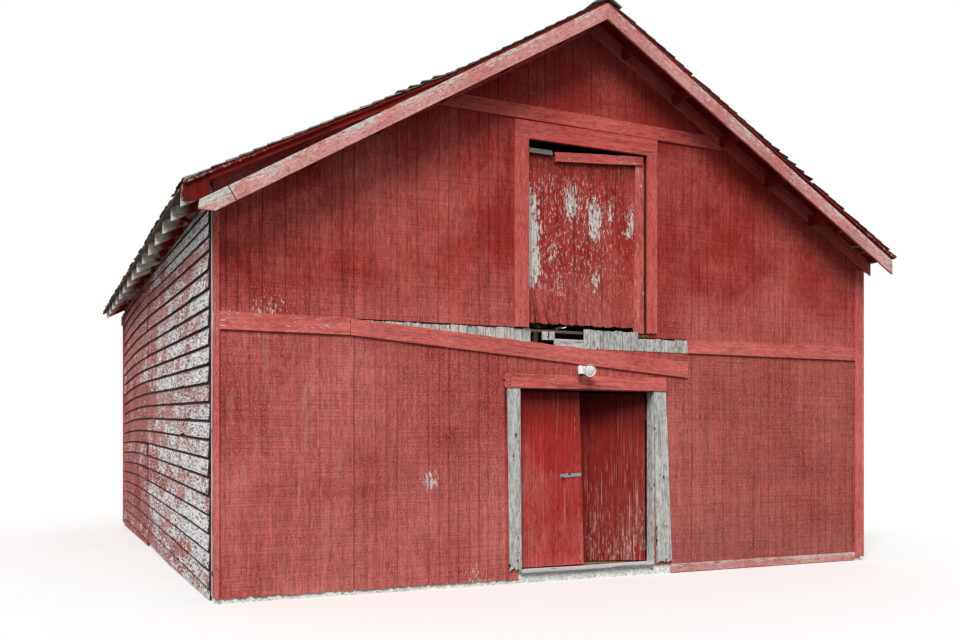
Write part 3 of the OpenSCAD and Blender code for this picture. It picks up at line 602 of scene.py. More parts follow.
@finish
def lapped_paint(p):
    f = Finish("lapped_paint", 0.85)
    near = 1 - f.y.rise(-3.6, 3.4)
    wear = 0.36 + 0.20 * near + 0.66 * (f.clouds((1.6, 1.6, 3.6), 4) - 0.5) + 0.16 * (f.tone - 0.5)
    white = srgb(250, 248, 248)
    paint, rough, height = f.old_paint(wear - 0.04 * f.z.rise(2.3, 3.2), 0.30 + 0.40 * near,
                                       (p.barn_red, p.pale_pink, white, white), 0.9, (9, 40))
    grit = f.fibres(7, 44, 3, 0.65).rise(0.42, 0.60)
    speck = f.fibres(9, 52, 4, 0.7).rise(0.54, 0.59)
    paint = (speck * 0.86).blend(paint * (1.04 - 0.34 * grit), srgb(44, 34, 36))
    # Painted light: the boards are brightened by up to 40 percent near the roof, against the shade of the eave
    paint = paint * (1 + 0.40 * f.z.rise(2.6, 3.3))
    # Painted shadow: the band just under each butt and the butt's lower edge are blended to a dark red-brown,
    # and the board ends are darkened too
    butt = f.low.rise(0.69, 0.755).most(1 - f.low.rise(0.004, 0.02)).most(1 - f.out.rise(0.006, 0.02))
    return f.show((butt * 0.96).blend(paint, srgb(66, 20, 17)), rough, height - speck * 0.2, 0.0035)


@finish
def door_paint(p):
    f = Finish("door_paint", 0.75)
    foot, right = 1 - f.z.rise(0.25, 1.15), f.x.rise(0.09, 0.12)
    patch = f.clouds((5.0, 5.0, 1.6))
    free = f.x.rise(-0.08, -0.03) * (1 - right)
    wear = 0.21 + 0.12 * patch + 0.13 * foot * right + 0.06 * right + 0.13 * free * patch.rise(0.4, 0.6)
    # Less fade towards the top and on the right leaf gives deeper red there: partly the paint's own, partly
    # painted shade
    fade = 0.30 * (1 - f.z.rise(0.8, 1.9)) + 0.05 - 0.3 * right
    paint, rough, height = f.old_paint(wear, fade, (p.door_red, p.faded_red, p.pale_pink, p.silver_wood),
                                       0.9, (12, 62))
    streak = f.fibres(1.1, 64).rise(0.56, 0.72)
    scratch = f.fibres(2.6, 74, 4, 0.7, 3.0).rise(0.57, 0.64) * right * (1 - f.z.rise(0.7, 1.6))
    # Painted shade: the right leaf, ajar in the dark doorway, is darkened, and so are the tops of both leaves
    # under the header
    paint = (streak * 0.34).blend(paint, p.pale_pink) * (1 - 0.42 * right) * (1 - 0.55 * f.z.rise(1.30, 1.82))
    return f.show((scratch * 0.75).blend(paint, p.pale_pink), rough, height, 0.0022)


@finish
def loft_paint(p):
    f = Finish("loft_paint", 0.75)
    left = 1 - (f.x - LOFT_LEFT).rise(0.02, 0.09)
    middle = f.z.rise(2.65, 3.1) * (1 - f.z.rise(3.85, 4.0))
    spots = 0.23 * left * f.z.rise(2.75, 2.9) * (1 - f.z.rise(3.8, 3.95))
    for x, z, radius, much in ((-0.53, 3.60, 0.38, 0.20), (-0.53, 3.35, 0.40, 0.24), (-0.53, 3.05, 0.44, 0.26),
                               (-0.10, 3.70, 0.42, 0.17), (0.17, 3.58, 0.48, 0.17), (0.35, 3.66, 0.22, 0.17),
                               (0.60, 3.56, 0.32, 0.19), (-0.30, 3.20, 0.28, 0.18), (0.17, 2.92, 0.32, 0.20),
                               (-0.24, 2.86, 0.24, 0.15)):
        spots = spots.most((f.place * (2.4, 1, 1)).near((x * 2.4, FRONT, z), radius) * much)
    wear = 0.30 + 0.34 * (f.clouds((3.5, 3.5, 1.2)) - 0.5) + 0.07 * middle * (1 - f.x.rise(0.0, 0.5) * 0.6)
    # Less fade on the upper part gives deeper red there: partly the paint's own, partly painted shade
    paint, rough, height = f.old_paint(wear + spots, 0.42 - 0.30 * f.z.rise(2.7, 3.3),
                                       (p.door_red, p.faded_red, p.primer, p.primer), 1.0, (14, 44))
    dark = f.fibres(1.3, 38, 4, 0.7).rise(0.54, 0.66)
    fleck = f.fibres(16, 60, 3, 0.7).rise(0.60, 0.66)
    chalk = f.fibres(19, 58, 3, 0.7, 7.0).rise(0.58, 0.63) * (1 - f.x.rise(0.1, 0.6) * 0.7)
    paint = (chalk * (0.25 + 0.40 * middle)).blend(paint, p.primer)
    paint = (fleck * 0.7).blend(paint * (0.92 - 0.46 * dark), srgb(46, 20, 20))
    # Painted shade: the top of the door is darkened under the casing above it
    return f.show(paint * (1 - 0.30 * f.z.rise(3.9, 4.05)), rough, height)


@finish
def silver_board(p, grit=0.22):
    f = Finish("silver_board_%d" % (grit * 100), 0.85)
    return f.show_wood(*f.bare_wood(p.silver_wood, p.dark_grain, 2.0, grit))


@finish
def grey_board(p):
    f = Finish("grey_board", 0.85)
    return f.show_wood(*f.bare_wood(srgb(128, 120, 112), srgb(58, 52, 46)))


@finish
def grey_stick(p, axis):
    """Grey sticks, with the wall's dark paint on the tails that pass it"""
    f = Finish("grey_stick_" + axis, 0.85, axis)
    dark = f.clouds(3.0)
    wall = f.x.rise(LEFT - 0.23, LEFT - 0.08) * (1 - f.x.rise(LEFT, LEFT + 0.05))
    wall = wall * f.z.rise(2.5, 2.6) * dark.rise(0.42, 0.5)
    wood, height = f.bare_wood(p.silver_wood, p.dark_grain, 0.5, 0.5)
    # Painted light: the wood is brightened 1.45 to 2.25 times, against the shade under the roof
    return f.show_wood(wall.blend(wood * (1.45 + 0.80 * dark), p.deep_red), height)


@finish
def sawn_wood(p, axis=None):
    """Wood indoors, with painted shade just behind the front: darker there, and on boards bluer too"""
    f = Finish("sawn_stick_" + axis if axis else "sawn_board", 0.85, axis)
    wood, height = f.bare_wood(p.sawn_wood, p.sawn_grain)
    # Painted shade: sticks near the front are darkened, and boards near the front are darkened and tinted blue
    if axis:
        wood = wood * (0.22 + 0.78 * f.y.rise(FRONT + 0.20, FRONT + 0.27))
    else:
        wood = f.y.rise(FRONT + 0.13, FRONT + 0.18).blend(wood * (0.50, 0.62, 0.72), wood)
    return f.show_wood(wood, height, 0.002)


@finish
def roof_board(p):
    """Bare between the walls and painted outside them"""
    f = Finish("roof_board", 0.85)
    wood, _ = f.bare_wood(srgb(120, 108, 96), srgb(52, 42, 36))
    paint, _, height = f.shaded_paint(0.20 + 0.20 * f.clouds(2.0) + 0.18 * (1 - f.z.rise(3.2, 4.2)))
    inside = 1 - f.y.size().rise(BACK - 0.004, BACK + 0.004)
    return f.show_wood(inside.blend(paint, wood), height)


@finish
def shingle(p):
    f = Finish("shingle", 0.9)
    line = f.fibres(9, 90, 5, 0.65)
    stain, moss = f.clouds(1.6, 4), f.clouds(9.0, 5, 0.7)
    wood = (f.tone * 0.75 + stain * 0.4 - 0.05).blend(p.shingle_grey, p.shingle_dark) * (0.66 + 0.68 * line)
    wood = (moss.rise(0.60, 0.70) * stain.rise(0.50, 0.62) * 0.7).blend(wood, srgb(74, 78, 48))
    front = (1 - f.y.rise(ROOF_FRONT + 0.003, ROOF_FRONT + 0.010)) * (1 - f.x.rise(-2.5, -1.2))
    wood = (front * line.rise(0.33, 0.50) * 0.8).blend(wood * (0.74 + 0.26 * f.low.rise(0.0, 0.2)),
                                                      srgb(196, 190, 184))
    return f.show(wood, 0.82 + 0.12 * f.tone, line * 0.8 + moss * 0.2, 0.004)


@finish
def iron(p):
    f = Finish("iron", 0.55, Specular_IOR_Level=0.5)
    spangle = f.clouds(260.0, 2, 0.5)
    rust = f.clouds(55.0, 5, 0.65).rise(0.56, 0.66)
    return f.show(rust.blend(p.zinc, p.rust) * (0.75 + 0.5 * spangle), 0.42 + 0.4 * rust,
                  spangle * 0.3 + rust * 0.5, 0.0006, 0.75 - 0.6 * rust)


@finish
def rusty_nail(p):
    f = Finish("rusty_nail", 0.8)
    blotch = f.clouds(190.0)
    return f.show(blotch.rise(0.35, 0.65).blend(p.rust, srgb(52, 34, 28)), 0.7 + 0.2 * blotch, blotch, 0.0004)


@finish
def painted_nail(p):
    f = Finish("painted_nail", 0.8)
    blotch = f.clouds(90.0)
    return f.show(blotch.rise(0.50, 0.62).blend(p.deep_red, p.rust), 0.7 + 0.2 * blotch, blotch, 0.0004)


@finish
def lamp_enamel(p):
    f = Finish("lamp_enamel", 0.35, Specular_IOR_Level=0.5, Coat_Weight=0.3)
    dirt = f.clouds(38.0, 5, 0.7)
    mask = (dirt + f.clouds((70, 70, 9)) - 0.98).rise(0.0, 0.22)
    return f.show((mask * 0.6).blend(p.enamel, srgb(128, 116, 100)), 0.32 + 0.35 * mask, dirt * 0.3, 0.0004)


@finish
def lamp_glass(p):
    f = Finish("lamp_glass", 0.2, Specular_IOR_Level=0.5, Coat_Weight=1.0, Coat_Roughness=0.08)
    dirt = f.clouds(60.0, 4)
    return f.show(dirt.rise(0.45, 0.75).blend(srgb(226, 230, 232), srgb(150, 146, 138)),
                  0.16 + 0.3 * dirt.rise(0.5, 0.8), dirt * 0.15, 0.0003)


@finish
def lamp_rubber(p):
    f = Finish("lamp_rubber", 0.7)
    dirt = f.clouds(80.0, 4)
    return f.show(dirt.rise(0.4, 0.7).blend(srgb(52, 52, 52), srgb(104, 100, 94)),
                  0.6 + 0.25 * dirt, dirt * 0.3, 0.0003)


def dress(material, *nodes):
    """Gives CAD pieces their finish"""
    for name in nodes:
        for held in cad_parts[name].material_slots:
            held.material = material


def upright(shape, x0, x1, z0, z1, front, back, **more):
    """An upright board that faces the front. z0 and z1 may depend on the place across it."""
    plank(shape, Vector((x0, back, 0)), Z, X, -Y, x1 - x0, back - front, z0, z1, **more)


def level(shape, x0, x1, z0, z1, front, back, **more):
    """A level board that faces the front. x0 and x1 may depend on the place across it."""
    plank(shape, Vector((0, back, z0)), X, Z, -Y, z1 - z0, back - front, x0, x1, **more)


def tilt_of(run):
    """Directions along a tilted board and across it, and the lean of its plumb ends"""
    along = run.normalized()
    return along, Vector((-along.z, 0, along.x)), along.z / along.x


def sloping(shape, x0, x1, top, deep, back, thick, out, start=None, end=None, rings=8, **more):
    """A board under a line of the roof, with plumb ends at x0 and x1; deep is measured plumb"""
    corner = Vector((x0, back, top(x0)))
    along, across, lean = tilt_of(Vector((x1, back, top(x1))) - corner)
    plank(shape, corner - Z * deep, along, across, out, deep * along.x, thick,
          start or (lambda a: a * lean), end or (lambda a: (x1 - x0 + a * along.z) / along.x),
          rings=rings, **more)


def fill(chance, start, end, middle, spread=0.0, gap=0.002):
    """Places of boards of about one width that fill a span"""
    count = max(1, round((end - start) / middle))
    cuts = [start + (end - start) * (i + (chance.uniform(-spread, spread) if 0 < i < count else 0)) / count
            for i in range(count + 1)]
    return [(a + gap / 2, b - gap / 2) for a, b in zip(cuts, cuts[1:])]


def between(rows, value):
    """A value read off a table of pairs, straight between its rows"""
    for (a, u), (b, v) in zip(rows, rows[1:]):
        if value <= b:
            return u + (v - u) * max(0.0, (value - a) / (b - a))
    return rows[-1][1]


def reach(height_at, height, side):
    """The place across the barn where a line of the roof comes down to a height"""
    near, far = RIDGE_X, (ROOF_RIGHT if side > 0 else ROOF_LEFT)
    for _ in range(40):
        middle = (near + far) / 2
        if height_at(middle) > height:
            near = middle
        else:
            far = middle
    return near


def grooved_sheet(shape, walls, x0, x1, foot, head, rag, faint):
    """One plywood sheet with grooves down its face, slight waves and a ragged foot"""
    chance, gap, half, margin = shape.chance, walls.groove_gap, walls.groove_width / 2, 0.014
    columns = [(x0, 0.0085), (x0 + 0.0055, 0.0075), (x0 + 0.007, 0.0)]
    k = math.floor((x0 - LEFT) / gap) + 1
    while LEFT + k * gap < x1 - margin:
        g = LEFT + k * gap + chance.uniform(-0.006, 0.006)
        deep = walls.groove_depth * faint * chance.uniform(0.35, 1.0)
        if x0 + margin < g < x1 - margin:
            last = columns[-1][0]
            steps = max(1, round((g - half - last) / 0.03))
            columns += [(last + (g - half - 0.001 - last) * i / steps, 0.0) for i in range(1, steps)]
            columns += [(g - half - 0.001, 0.0), (g - half + 0.0012, deep), (g + half - 0.0012, deep),
                        (g + half + 0.001, 0.0)]
        k += 1
    last = columns[-1][0]
    columns += [(last + (x1 - last) * i / 3, 0.0) for i in (1, 2)] + [(x1 - 0.0006, 0.0)]
    seed, tone = chance.uniform(0, 50), chance.random()
    count = len(columns)
    rows = max(3, round((head((x0 + x1) / 2) - foot) / 0.22))
    points, grain, rim = [], [], []
    for y in (FRONT, SHEET_BACK):
        for r in range(rows + 1):
            for x, dip in columns:
                low = foot + rag * max(0.0, ripple(x * 31, seed, 0) * 1.6)
                z = low + (head(x) - low) * (r / rows)
                wave = 0.0016 * (1 + ripple(x * 1.7, z * 1.3, seed))
                points.append((x, y + (dip + wave if y == FRONT else 0), z))
                grain.append((z, x - x0, 0))
                rim.append(((x - x0) / (x1 - x0), min(1.0, dip / walls.groove_depth), tone))
    back = (rows + 1) * count
    faces = []
    for r in range(rows):
        for c in range(count - 1):
            a = r * count + c
            faces.append((a, a + 1, a + count + 1, a + count))
            faces.append((back + a, back + a + count, back + a + count + 1, back + a + 1))
        a, b = r * count, r * count + count - 1
        faces.append((a, a + count, back + a + count, back + a))
        faces.append((b, back + b, back + b + count, b + count))
    for c in range(count - 1):
        d = rows * count + c
        faces.append((c, back + c, back + c + 1, c + 1))
        faces.append((d, d + 1, back + d + 1, back + d))
    shape.add(points, faces, grain, rim)


def sheets_between(shape, walls, x0, x1, foot, head, rag):
    """Sheets that butt at the seams of the front; the first one's grooves are faint"""
    seams = [LEFT + k * walls.sheet_width for k in range(8)]
    cuts = [x0] + [s for s in seams if x0 + 0.02 < s < x1 - 0.02] + [x1]
    for a, b in zip(cuts, cuts[1:]):
        faint = a < LEFT + 0.1 and head(a) < 2.4
        grooved_sheet(shape, walls, a, b, foot, head, rag, 0.4 if faint else 1.0)


class BARN_OT_stage(bpy.types.Operator):
    """Sets the floor, the lamps, the world and the camera"""
    bl_idname = "barn.stage"
    bl_label = "Stage"

    def execute(self, context):
        scene = context.scene
        scene.view_settings.view_transform = "Standard"
        world = bpy.data.worlds.new("Pale sky")
        world.use_nodes = True
        scene.world = world
        sky = Nodes(world.node_tree)
        ray = sky.node("LightPath").socket.node.outputs
        seen = Field(sky, ray["Is Camera Ray"]).most(Field(sky, ray["Is Glossy Ray"]))
        seen = seen.most(Field(sky, ray["Is Transmission Ray"]))
        shade = world.node_tree.nodes["Background"]
        sky.link(seen.blend((0.93, 0.96, 1.0), (1, 1, 1)), shade, "Color")
        sky.link(SKY_STRENGTH + (1 - SKY_STRENGTH) * seen, shade, "Strength")
        ground = Finish("Pale floor", 0.9)
        ray = ground.node("LightPath").socket.node.outputs
        ground.show(Field(ground, ray["Is Camera Ray"]).blend((0.16, 0.16, 0.15), (0.86, 0.86, 0.85)))
        mesh = bpy.data.meshes.new("Floor")
        half = FLOOR_HALF
        mesh.from_pydata([(-half, -half, 0), (half, -half, 0), (half, half, 0), (-half, half, 0)], [],
                         [(0, 1, 2, 3)])
        mesh.materials.append(ground.material)
        stand("Floor", mesh)
        light = bpy.data.lights.new("Key", "SUN")
        light.energy, light.angle, light.color = SUN_STRENGTH, SUN_ANGLE, (1.0, 0.985, 0.96)
        stand("Key", light).rotation_euler = SUN_WAY.to_track_quat("-Z", "Y").to_euler()
        lens = bpy.data.cameras.new("Camera")
        lens.lens, lens.sensor_width, lens.shift_y, lens.clip_end = LENS_MM, SENSOR_MM, LENS_SHIFT, FAR
        scene.camera = stand("Camera", lens)
        scene.camera.location = CAMERA_PLACE
        scene.camera.rotation_euler = (math.pi / 2, 0, CAMERA_YAW)
        return {"FINISHED"}


class BARN_OT_frame_wood(bpy.types.Operator):
    """Gives the sills, studs, joists and beams the finish of sawn wood"""
    bl_idname = "barn.frame_wood"
    bl_label = "Frame wood"

    def execute(self, context):
        dress(sawn_wood("x"), "floor_joists", "door_lintel", "loft_lintel", "loft_beam")
        dress(sawn_wood("y"), "loft_joists")
        dress(sawn_wood("z"), "side_frames", "back_frame", "front_frame", "gable_frame")
        dress(grey_stick("y"), "sills", "ridge_board")
        dress(grey_stick("x"), "left_rafters", "right_rafters")
        dress(soffit_paint("x"), "lookouts")
        return {"FINISHED"}


class BARN_OT_floors(bpy.types.Operator):
    """Lays the floor and the loft floor board by board"""
    bl_idname = "barn.floors"
    bl_label = "Floor boards"

    def execute(self, context):
        for name in ("floor_boards", "loft_floor"):
            low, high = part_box(name)
            shape = Shape(len(name))
            for a, b in fill(shape.chance, low.x, high.x, 0.145, 0.06, 0.003):
                cut = shape.chance.uniform(low.y + 1.5, high.y - 1.5)
                for y0, y1 in ((low.y, cut - 0.001), (cut + 0.001, high.y)):
                    plank(shape, Vector((a, 0, low.z)), Y, X, Z, b - a, high.z - low.z, y0, y1, rings=6,
                          shift=wavy(0.0008, shape.chance.uniform(0, 90)))
            shape.piece("boards_of_" + name, sawn_wood(), "frame_wood", name)
        return {"FINISHED"}


class BARN_OT_roof_boards(bpy.types.Operator):
    """Lays the boards under the shingles of both slopes"""
    bl_idname = "barn.roof_boards"
    bl_label = "Roof boards"

    def execute(self, context):
        roof = Roof(context.scene.barn_roof)
        first_rafter, spacing = -4.165, 0.594
        for side, node in ((-1, "left_deck"), (1, "right_deck")):
            shape = Shape(40 + side)
            low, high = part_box(node)
            kink = RIDGE_X - roof.sizes.kink
            spans = ((low.x, kink), (kink, RIDGE_X)) if side < 0 else ((high.x, RIDGE_X),)
            for x0, x1 in spans:
                up, out = roof.axes(side, (x0 + x1) / 2)
                base = Vector((x0, 0, roof.under_deck(x0 - side * 1e-6))) + out * SEAT
                run = abs(x1 - x0) / math.cos(roof.pitch((x0 + x1) / 2)) - (0.006 if x1 == RIDGE_X else 0.001)
                for a, b in fill(shape.chance, 0.0, run, 0.150, 0.08, 0.003):
                    cut = first_rafter + spacing * shape.chance.randint(3, 11)
                    ends = [low.y + shape.chance.uniform(0, 0.006), high.y - shape.chance.uniform(0, 0.006)]
                    for y0, y1 in ((ends[0], cut - 0.001), (cut + 0.001, ends[1])):
                        plank(shape, base + up * a, Y, up, out, b - a, roof.sizes.deck - 0.0012, y0, y1,
                              rings=3)
            shape.piece(node + "_boards", roof_board(), "grey_wood", node)
        return {"FINISHED"}


def lay_shingle(shape, roof, side, x, y0, y1, setback, skew, lift, length=0.255, top=0.023, thick=0.009):
    """One shingle: its butt lies near x, and it follows the roof up the slope"""
    pitch = roof.pitch(x - side * 0.01)
    points, grain, rim = [], [], []
    tone = shape.chance.random()
    for face_up in (1, 0):
        for j, s in enumerate((0.0, length * 0.5, length)):
            for i in range(3):
                back = setback + skew[i] if j == 0 else setback * (1 - j / 2)
                away = min((s + back) * math.cos(pitch), abs(x - RIDGE_X) - 0.003)
                place = x - side * away
                height = top * (1 - 0.8 * (s + (back if j == 0 else 0)) / length) + (lift[i] if j == 0 else 0)
                over = height - (0 if face_up else thick * (1 - 0.75 * s / length))
                points.append((place, y0 + (y1 - y0) * i / 2, roof.deck_top(place) + roof.plumb(over)))
                grain.append((s, (y1 - y0) * i / 2, 0))
                rim.append((j / 2, s, tone))
    faces = []
    for j in range(2):
        for i in range(2):
            a = j * 3 + i
            faces.append((a, a + 1, a + 4, a + 3))
            faces.append((a + 9, a + 12, a + 13, a + 10))
    for i in range(2):
        faces.append((i, i + 9, i + 10, i + 1))
        faces.append((6 + i, 7 + i, 16 + i, 15 + i))
    for j in range(2):
        a, b = j * 3, j * 3 + 2
        faces.append((a, a + 3, a + 12, a + 9))
        faces.append((b, b + 9, b + 12, b + 3))
    shape.add(points, faces, grain, rim, turned=side < 0)


def lay_slope(shape, roof, side, edge):
    """The shingles of one slope, course by course, on a shorter first course at the eave"""
    held, chance = roof.sizes, shape.chance
    # Chances that a shingle is gone or has slipped, how far it slips, and the eave's raggedness
    gone, slips, slip, eave_ragged = 0.012, 0.03, 0.05, 0.060
    # Where the shingles at the front edge stand up, across each slope
    raised = {-1: (-2.06, -1.68), 1: (2.12, 2.70)}
    count = round(abs(edge - RIDGE_X) / held.course)
    run = abs(edge - RIDGE_X) / count
    for course in range(-1, count):
        x = edge - side * max(course, 0) * run
        y = ROOF_FRONT - chance.uniform(0, 0.09)
        while y < ROOF_BACK - 0.02:
            wide = min(max(chance.gauss(held.shingle_width, 0.035), 0.07), 0.20)
            y0, y1 = max(y, ROOF_FRONT + chance.uniform(0, 0.008)), y + wide - 0.003
            if y1 > ROOF_BACK - 0.05:
                y1 = ROOF_BACK - chance.uniform(0, 0.008)
            y += wide
            if y1 - y0 < 0.03 or (course > 0 and chance.random() < gone):
                continue
            setback = held.ragged * chance.random() ** 2 + (slip if chance.random() < slips else 0.0)
            if course <= 0:
                setback = eave_ragged * chance.random() ** 1.5
            skew = [chance.uniform(0, 0.006) for _ in range(3)]
            lift = [chance.uniform(-0.001, 0.004) * (1.8 if chance.random() < 0.1 else 0.7)
                    for _ in range(3)]
            if y0 < ROOF_FRONT + 0.02:
                setback, lift = setback * 0.3, [0.3 * v for v in lift]
                if course > 0 and raised[side][0] < x < raised[side][1]:
                    lift = [0.014, 0.010, 0.002]
            if course < 0:
                lay_shingle(shape, roof, side, x, y0, y1, setback, skew, [0] * 3, 0.15, 0.0175, 0.0165)
            else:
                lay_shingle(shape, roof, side, x, y0, y1, setback, skew, lift,
                            top=0.029 if course > count - 3 else 0.023)
            if y1 > ROOF_BACK - 0.01:
                break


class BARN_OT_shingles(bpy.types.Operator):
    """Lays the shingles of both slopes and the ridge cap"""
    bl_idname = "barn.shingles"
    bl_label = "Shingles"

    def execute(self, context):
        roof = Roof(context.scene.barn_roof)
        for side, node, edge in ((-1, "left_shingles", ROOF_LEFT), (1, "right_shingles", ROOF_RIGHT)):
            shape = Shape(70 + side)
            lay_slope(shape, roof, side, edge)
            shape.piece(node + "_laid", shingle(), "shingle", node)
        cap = Shape(75)
        low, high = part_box("ridge_cap")
        for side, edge in ((-1, low.x), (1, high.x)):
            pitch = roof.pitch(RIDGE_X + side * 0.01)
            up, out = roof.axes(side, RIDGE_X + side * 0.01)
            thick = (CAP_THICK - 0.0005) * math.cos(pitch)
            base = Vector((edge, 0, roof.top(edge))) + out * SEAT
            wide = abs(edge - RIDGE_X) / math.cos(pitch) - thick * math.tan(pitch)
            cuts = [ROOF_FRONT] + sorted(cap.chance.uniform(-3.6, 3.6) for _ in range(2)) + [ROOF_BACK]
            for y0, y1 in zip(cuts, cuts[1:]):
                plank(cap, base, Y, up, out, wide, thick, y0 + 0.001, y1 - 0.001, rings=8)
        cap.piece("ridge_cap_boards", grey_board(), "shingle", "ridge_cap")
        return {"FINISHED"}


class BARN_OT_sheets(bpy.types.Operator):
    """Nails the grooved plywood sheets to the front"""
    bl_idname = "barn.sheets"
    bl_label = "Front sheets"

    def execute(self, context):
        roof, walls = Roof(context.scene.barn_roof), context.scene.barn_walls
        for name, seed, rag in (("front_siding_left", 17, 0.020), ("front_siding_right", 18, 0.006),
                                ("siding_over_door", 16, 0.0), ("gable_siding_left", 20, 0.0),
                                ("gable_siding_right", 21, 0.0), ("gable_siding_top", 9, 0.0)):
            (x0, _, foot), (x1, _, top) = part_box(name)
            head = lambda x: top - 0.002
            if name.startswith("gable"):
                head = lambda x: roof.under_deck(x) - 0.002
                foot += 0.002
            if name == "gable_siding_top":
                x0, x1, foot = LOFT_LEFT, LOFT_RIGHT, LOFT_HEAD
            shape = Shape(seed)
            sheets_between(shape, walls, x0, x1, foot, head, rag)
            shape.piece(name + "_sheets", sheet_paint(), "red_plywood", name)
        return {"FINISHED"}


class BARN_OT_old_boards(bpy.types.Operator):
    """Sets the bare upright boards that show where the belt board has fallen"""
    bl_idname = "barn.old_boards"
    bl_label = "Old boards"

    def execute(self, context):
        shape = Shape(11)
        chance = shape.chance
        gap_left, gap_right, step = RIDGE_X - 0.645, RIDGE_X - 0.055, LOFT_RIGHT - 0.095
        belt_left, belt_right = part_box("front_siding_left")[1].z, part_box("front_siding_right")[1].z
        top_left, top_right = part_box("gable_siding_left")[0].z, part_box("gable_siding_right")[0].z
        for x0, x1, z0, z1 in ((LEFT, gap_left, belt_left, top_left),
                               (gap_right, step, belt_right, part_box("old_boards")[1].z),
                               (step, RIGHT, belt_right, top_right)):
            for a, b in fill(chance, x0, x1, 0.092, 0.12, 0.006):
                drop = chance.uniform(0.0, 0.004)
                head = z1 - chance.uniform(0.0, 0.012)
                upright(shape, a, b, z0 + chance.uniform(0.0005, 0.004), ragged(chance, 0.010, head, -1),
                        FRONT + drop, SHEET_BACK, rings=3, strands=6, shift=wavy(0.001, chance.uniform(0, 90)))
        shape.piece("old_upright_boards", silver_board(0.6), "grey_wood", "old_boards")
        scraps = Shape(12)
        back, foot = SHEET_BACK - SEAT, 2.342
        for x0, x1 in ((-0.444, -0.378), (-0.366, -0.303)):
            level(scraps, ragged(scraps.chance, 0.006, x0), ragged(scraps.chance, 0.006, x1, -1),
                  foot, foot + 0.082, FRONT + 0.003, back, rings=3, strands=6)
        level(scraps, -0.378, -0.366, foot, foot + 0.010, FRONT + 0.006, back, rings=2)
        level(scraps, -0.31, gap_right - 0.002, belt_right + 0.0005, foot + 0.015, FRONT + 0.004, back,
              strands=3, shift=wavy(0.0015, 4))
        scraps.piece("scraps_in_gap", silver_board(0.6), "grey_wood")
        return {"FINISHED"}


def lapped_board(shape, walls, place, along, across, out, butt, show, top, start, end):
    """One lapped board: butt gives the height of its lower edge along it, show what it leaves bare"""
    tilt = math.atan(0.014 / walls.lap_show)
    wide, thick = show / 0.84, walls.lap_thick
    lean = Vector(across) * math.cos(tilt) - out * math.sin(tilt)
    face = out * math.cos(tilt) + Vector(across) * math.sin(tilt)
    chance = shape.chance
    low = butt((start(0.05) + end(0.05)) / 2)
    bend, bow = chance.uniform(0, 90), chance.uniform(0.001, 0.0035)
    chips = [(chance.uniform(-4, 4), chance.uniform(0.02, 0.10), chance.uniform(0.006, 0.022))
             for _ in range(5)]

    def shift(s, a, o):
        edge = 0.0
        if a < wide * 0.2:
            for at, half, deep in chips:
                edge = max(edge, deep * max(0.0, 1 - abs(s - at) / half))
            edge += 0.0018 * (1 + ripple(s * 9, bend, 2))
        height = butt(s) + a + edge
        rise = butt(s) - low + edge + max(0.012 - height, 0.0) - max(height - top, 0.0)
        wave = bow * ripple(s * 1.9, bend, a * 4) - bow
        return (0, rise * math.cos(tilt), rise * math.sin(tilt) + wave * (1 - a / wide))
    plank(shape, place + Vector(across) * low, along, lean, face, wide, thick, start, end,
          rings=max(3, round((end(0.05) - start(0.05)) / 0.22)), strands=5, chamfer=0.0025, shift=shift)


def lapped_side(shape, walls, side, box, butt_line, joints, slipped):
    """The lapped boards of one side wall, butted at the joints; slipped boards start further back"""
    chance, (low, high) = shape.chance, box
    place = Vector(((low.x if side < 0 else high.x) - side * walls.lap_thick, 0, 0))
    for k in range(-1, 24):
        cuts = [low.y] + joints[k % len(joints)] + [high.y]
        for i, (a, b) in enumerate(zip(cuts, cuts[1:])):
            foot, show = butt_line(k, a), butt_line(k + 1, (a + b) / 2) - butt_line(k, (a + b) / 2)
            if foot > high.z - 0.03 or foot + show < 0.05:
                continue
            start = a + (chance.uniform(0.001, 0.004) if i or side > 0 else chance.uniform(0.09, 0.17))
            end = b - chance.uniform(0.001, 0.004)
            drop = 0.012 if i == 1 and k in slipped else 0.0
            if i == 1:
                start += slipped.get(k, 0.0)
            lapped_board(shape, walls, place, Y, Z, X * side,
                         lambda s: butt_line(k, s) - drop * max(0.0, 1 - (s - cuts[1]) / 1.5), show, high.z,
                         ragged(chance, 0.005, start), ragged(chance, 0.004, end, -1))


def left_butt_line(walls):
    """Where the butt of board k lies along the left wall, which sags towards the front"""
    joint = walls.sag_joint

    def line(k, y):
        low, more = 0.0615 + 0.159 * min(k, 19), max(k - 19, 0)
        at_joint = low + 0.0065 * min(max(k - 14, 0), 5) + 0.110 * more
        if y < joint:
            at_front = low + 0.0031 * min(max(k - 5, 0), 14) - walls.sag + 0.121 * more
            return at_joint + (at_front - at_joint) * (joint - y) / (joint - FRONT)
        at_back = 0.112 + 0.1502 * k + 0.0075 * max(k - 12, 0)
        away = (y - joint) / (BACK - joint)
        return at_joint + (at_back - at_joint) * away + (0.018 + 0.0008 * k) * 4 * away * (1 - away)
    return line


class BARN_OT_side_walls(bpy.types.Operator):
    """Laps the boards of the left and right walls"""
    bl_idname = "barn.side_walls"
    bl_label = "Side walls"

    def execute(self, context):
        walls = context.scene.barn_walls
        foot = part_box("right_clapboards")[0].z
        for side, node, line, joints, slipped in (
                (-1, "left_clapboards", left_butt_line(walls), [[walls.sag_joint]],
                 {5: 0.060, 7: 0.120, 15: 0.060, 17: 0.110}),
                (1, "right_clapboards", lambda k, y: foot + walls.lap_show * k,
                 [[-1.38, 1.59], [0.60], [-2.37, 2.58], [-0.39]], {})):
            shape = Shape(20 + side)
            lapped_side(shape, walls, side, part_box(node), line, joints, slipped)
            shape.piece(node + "_lapped", lapped_paint(), "clapboard", node)
        return {"FINISHED"}


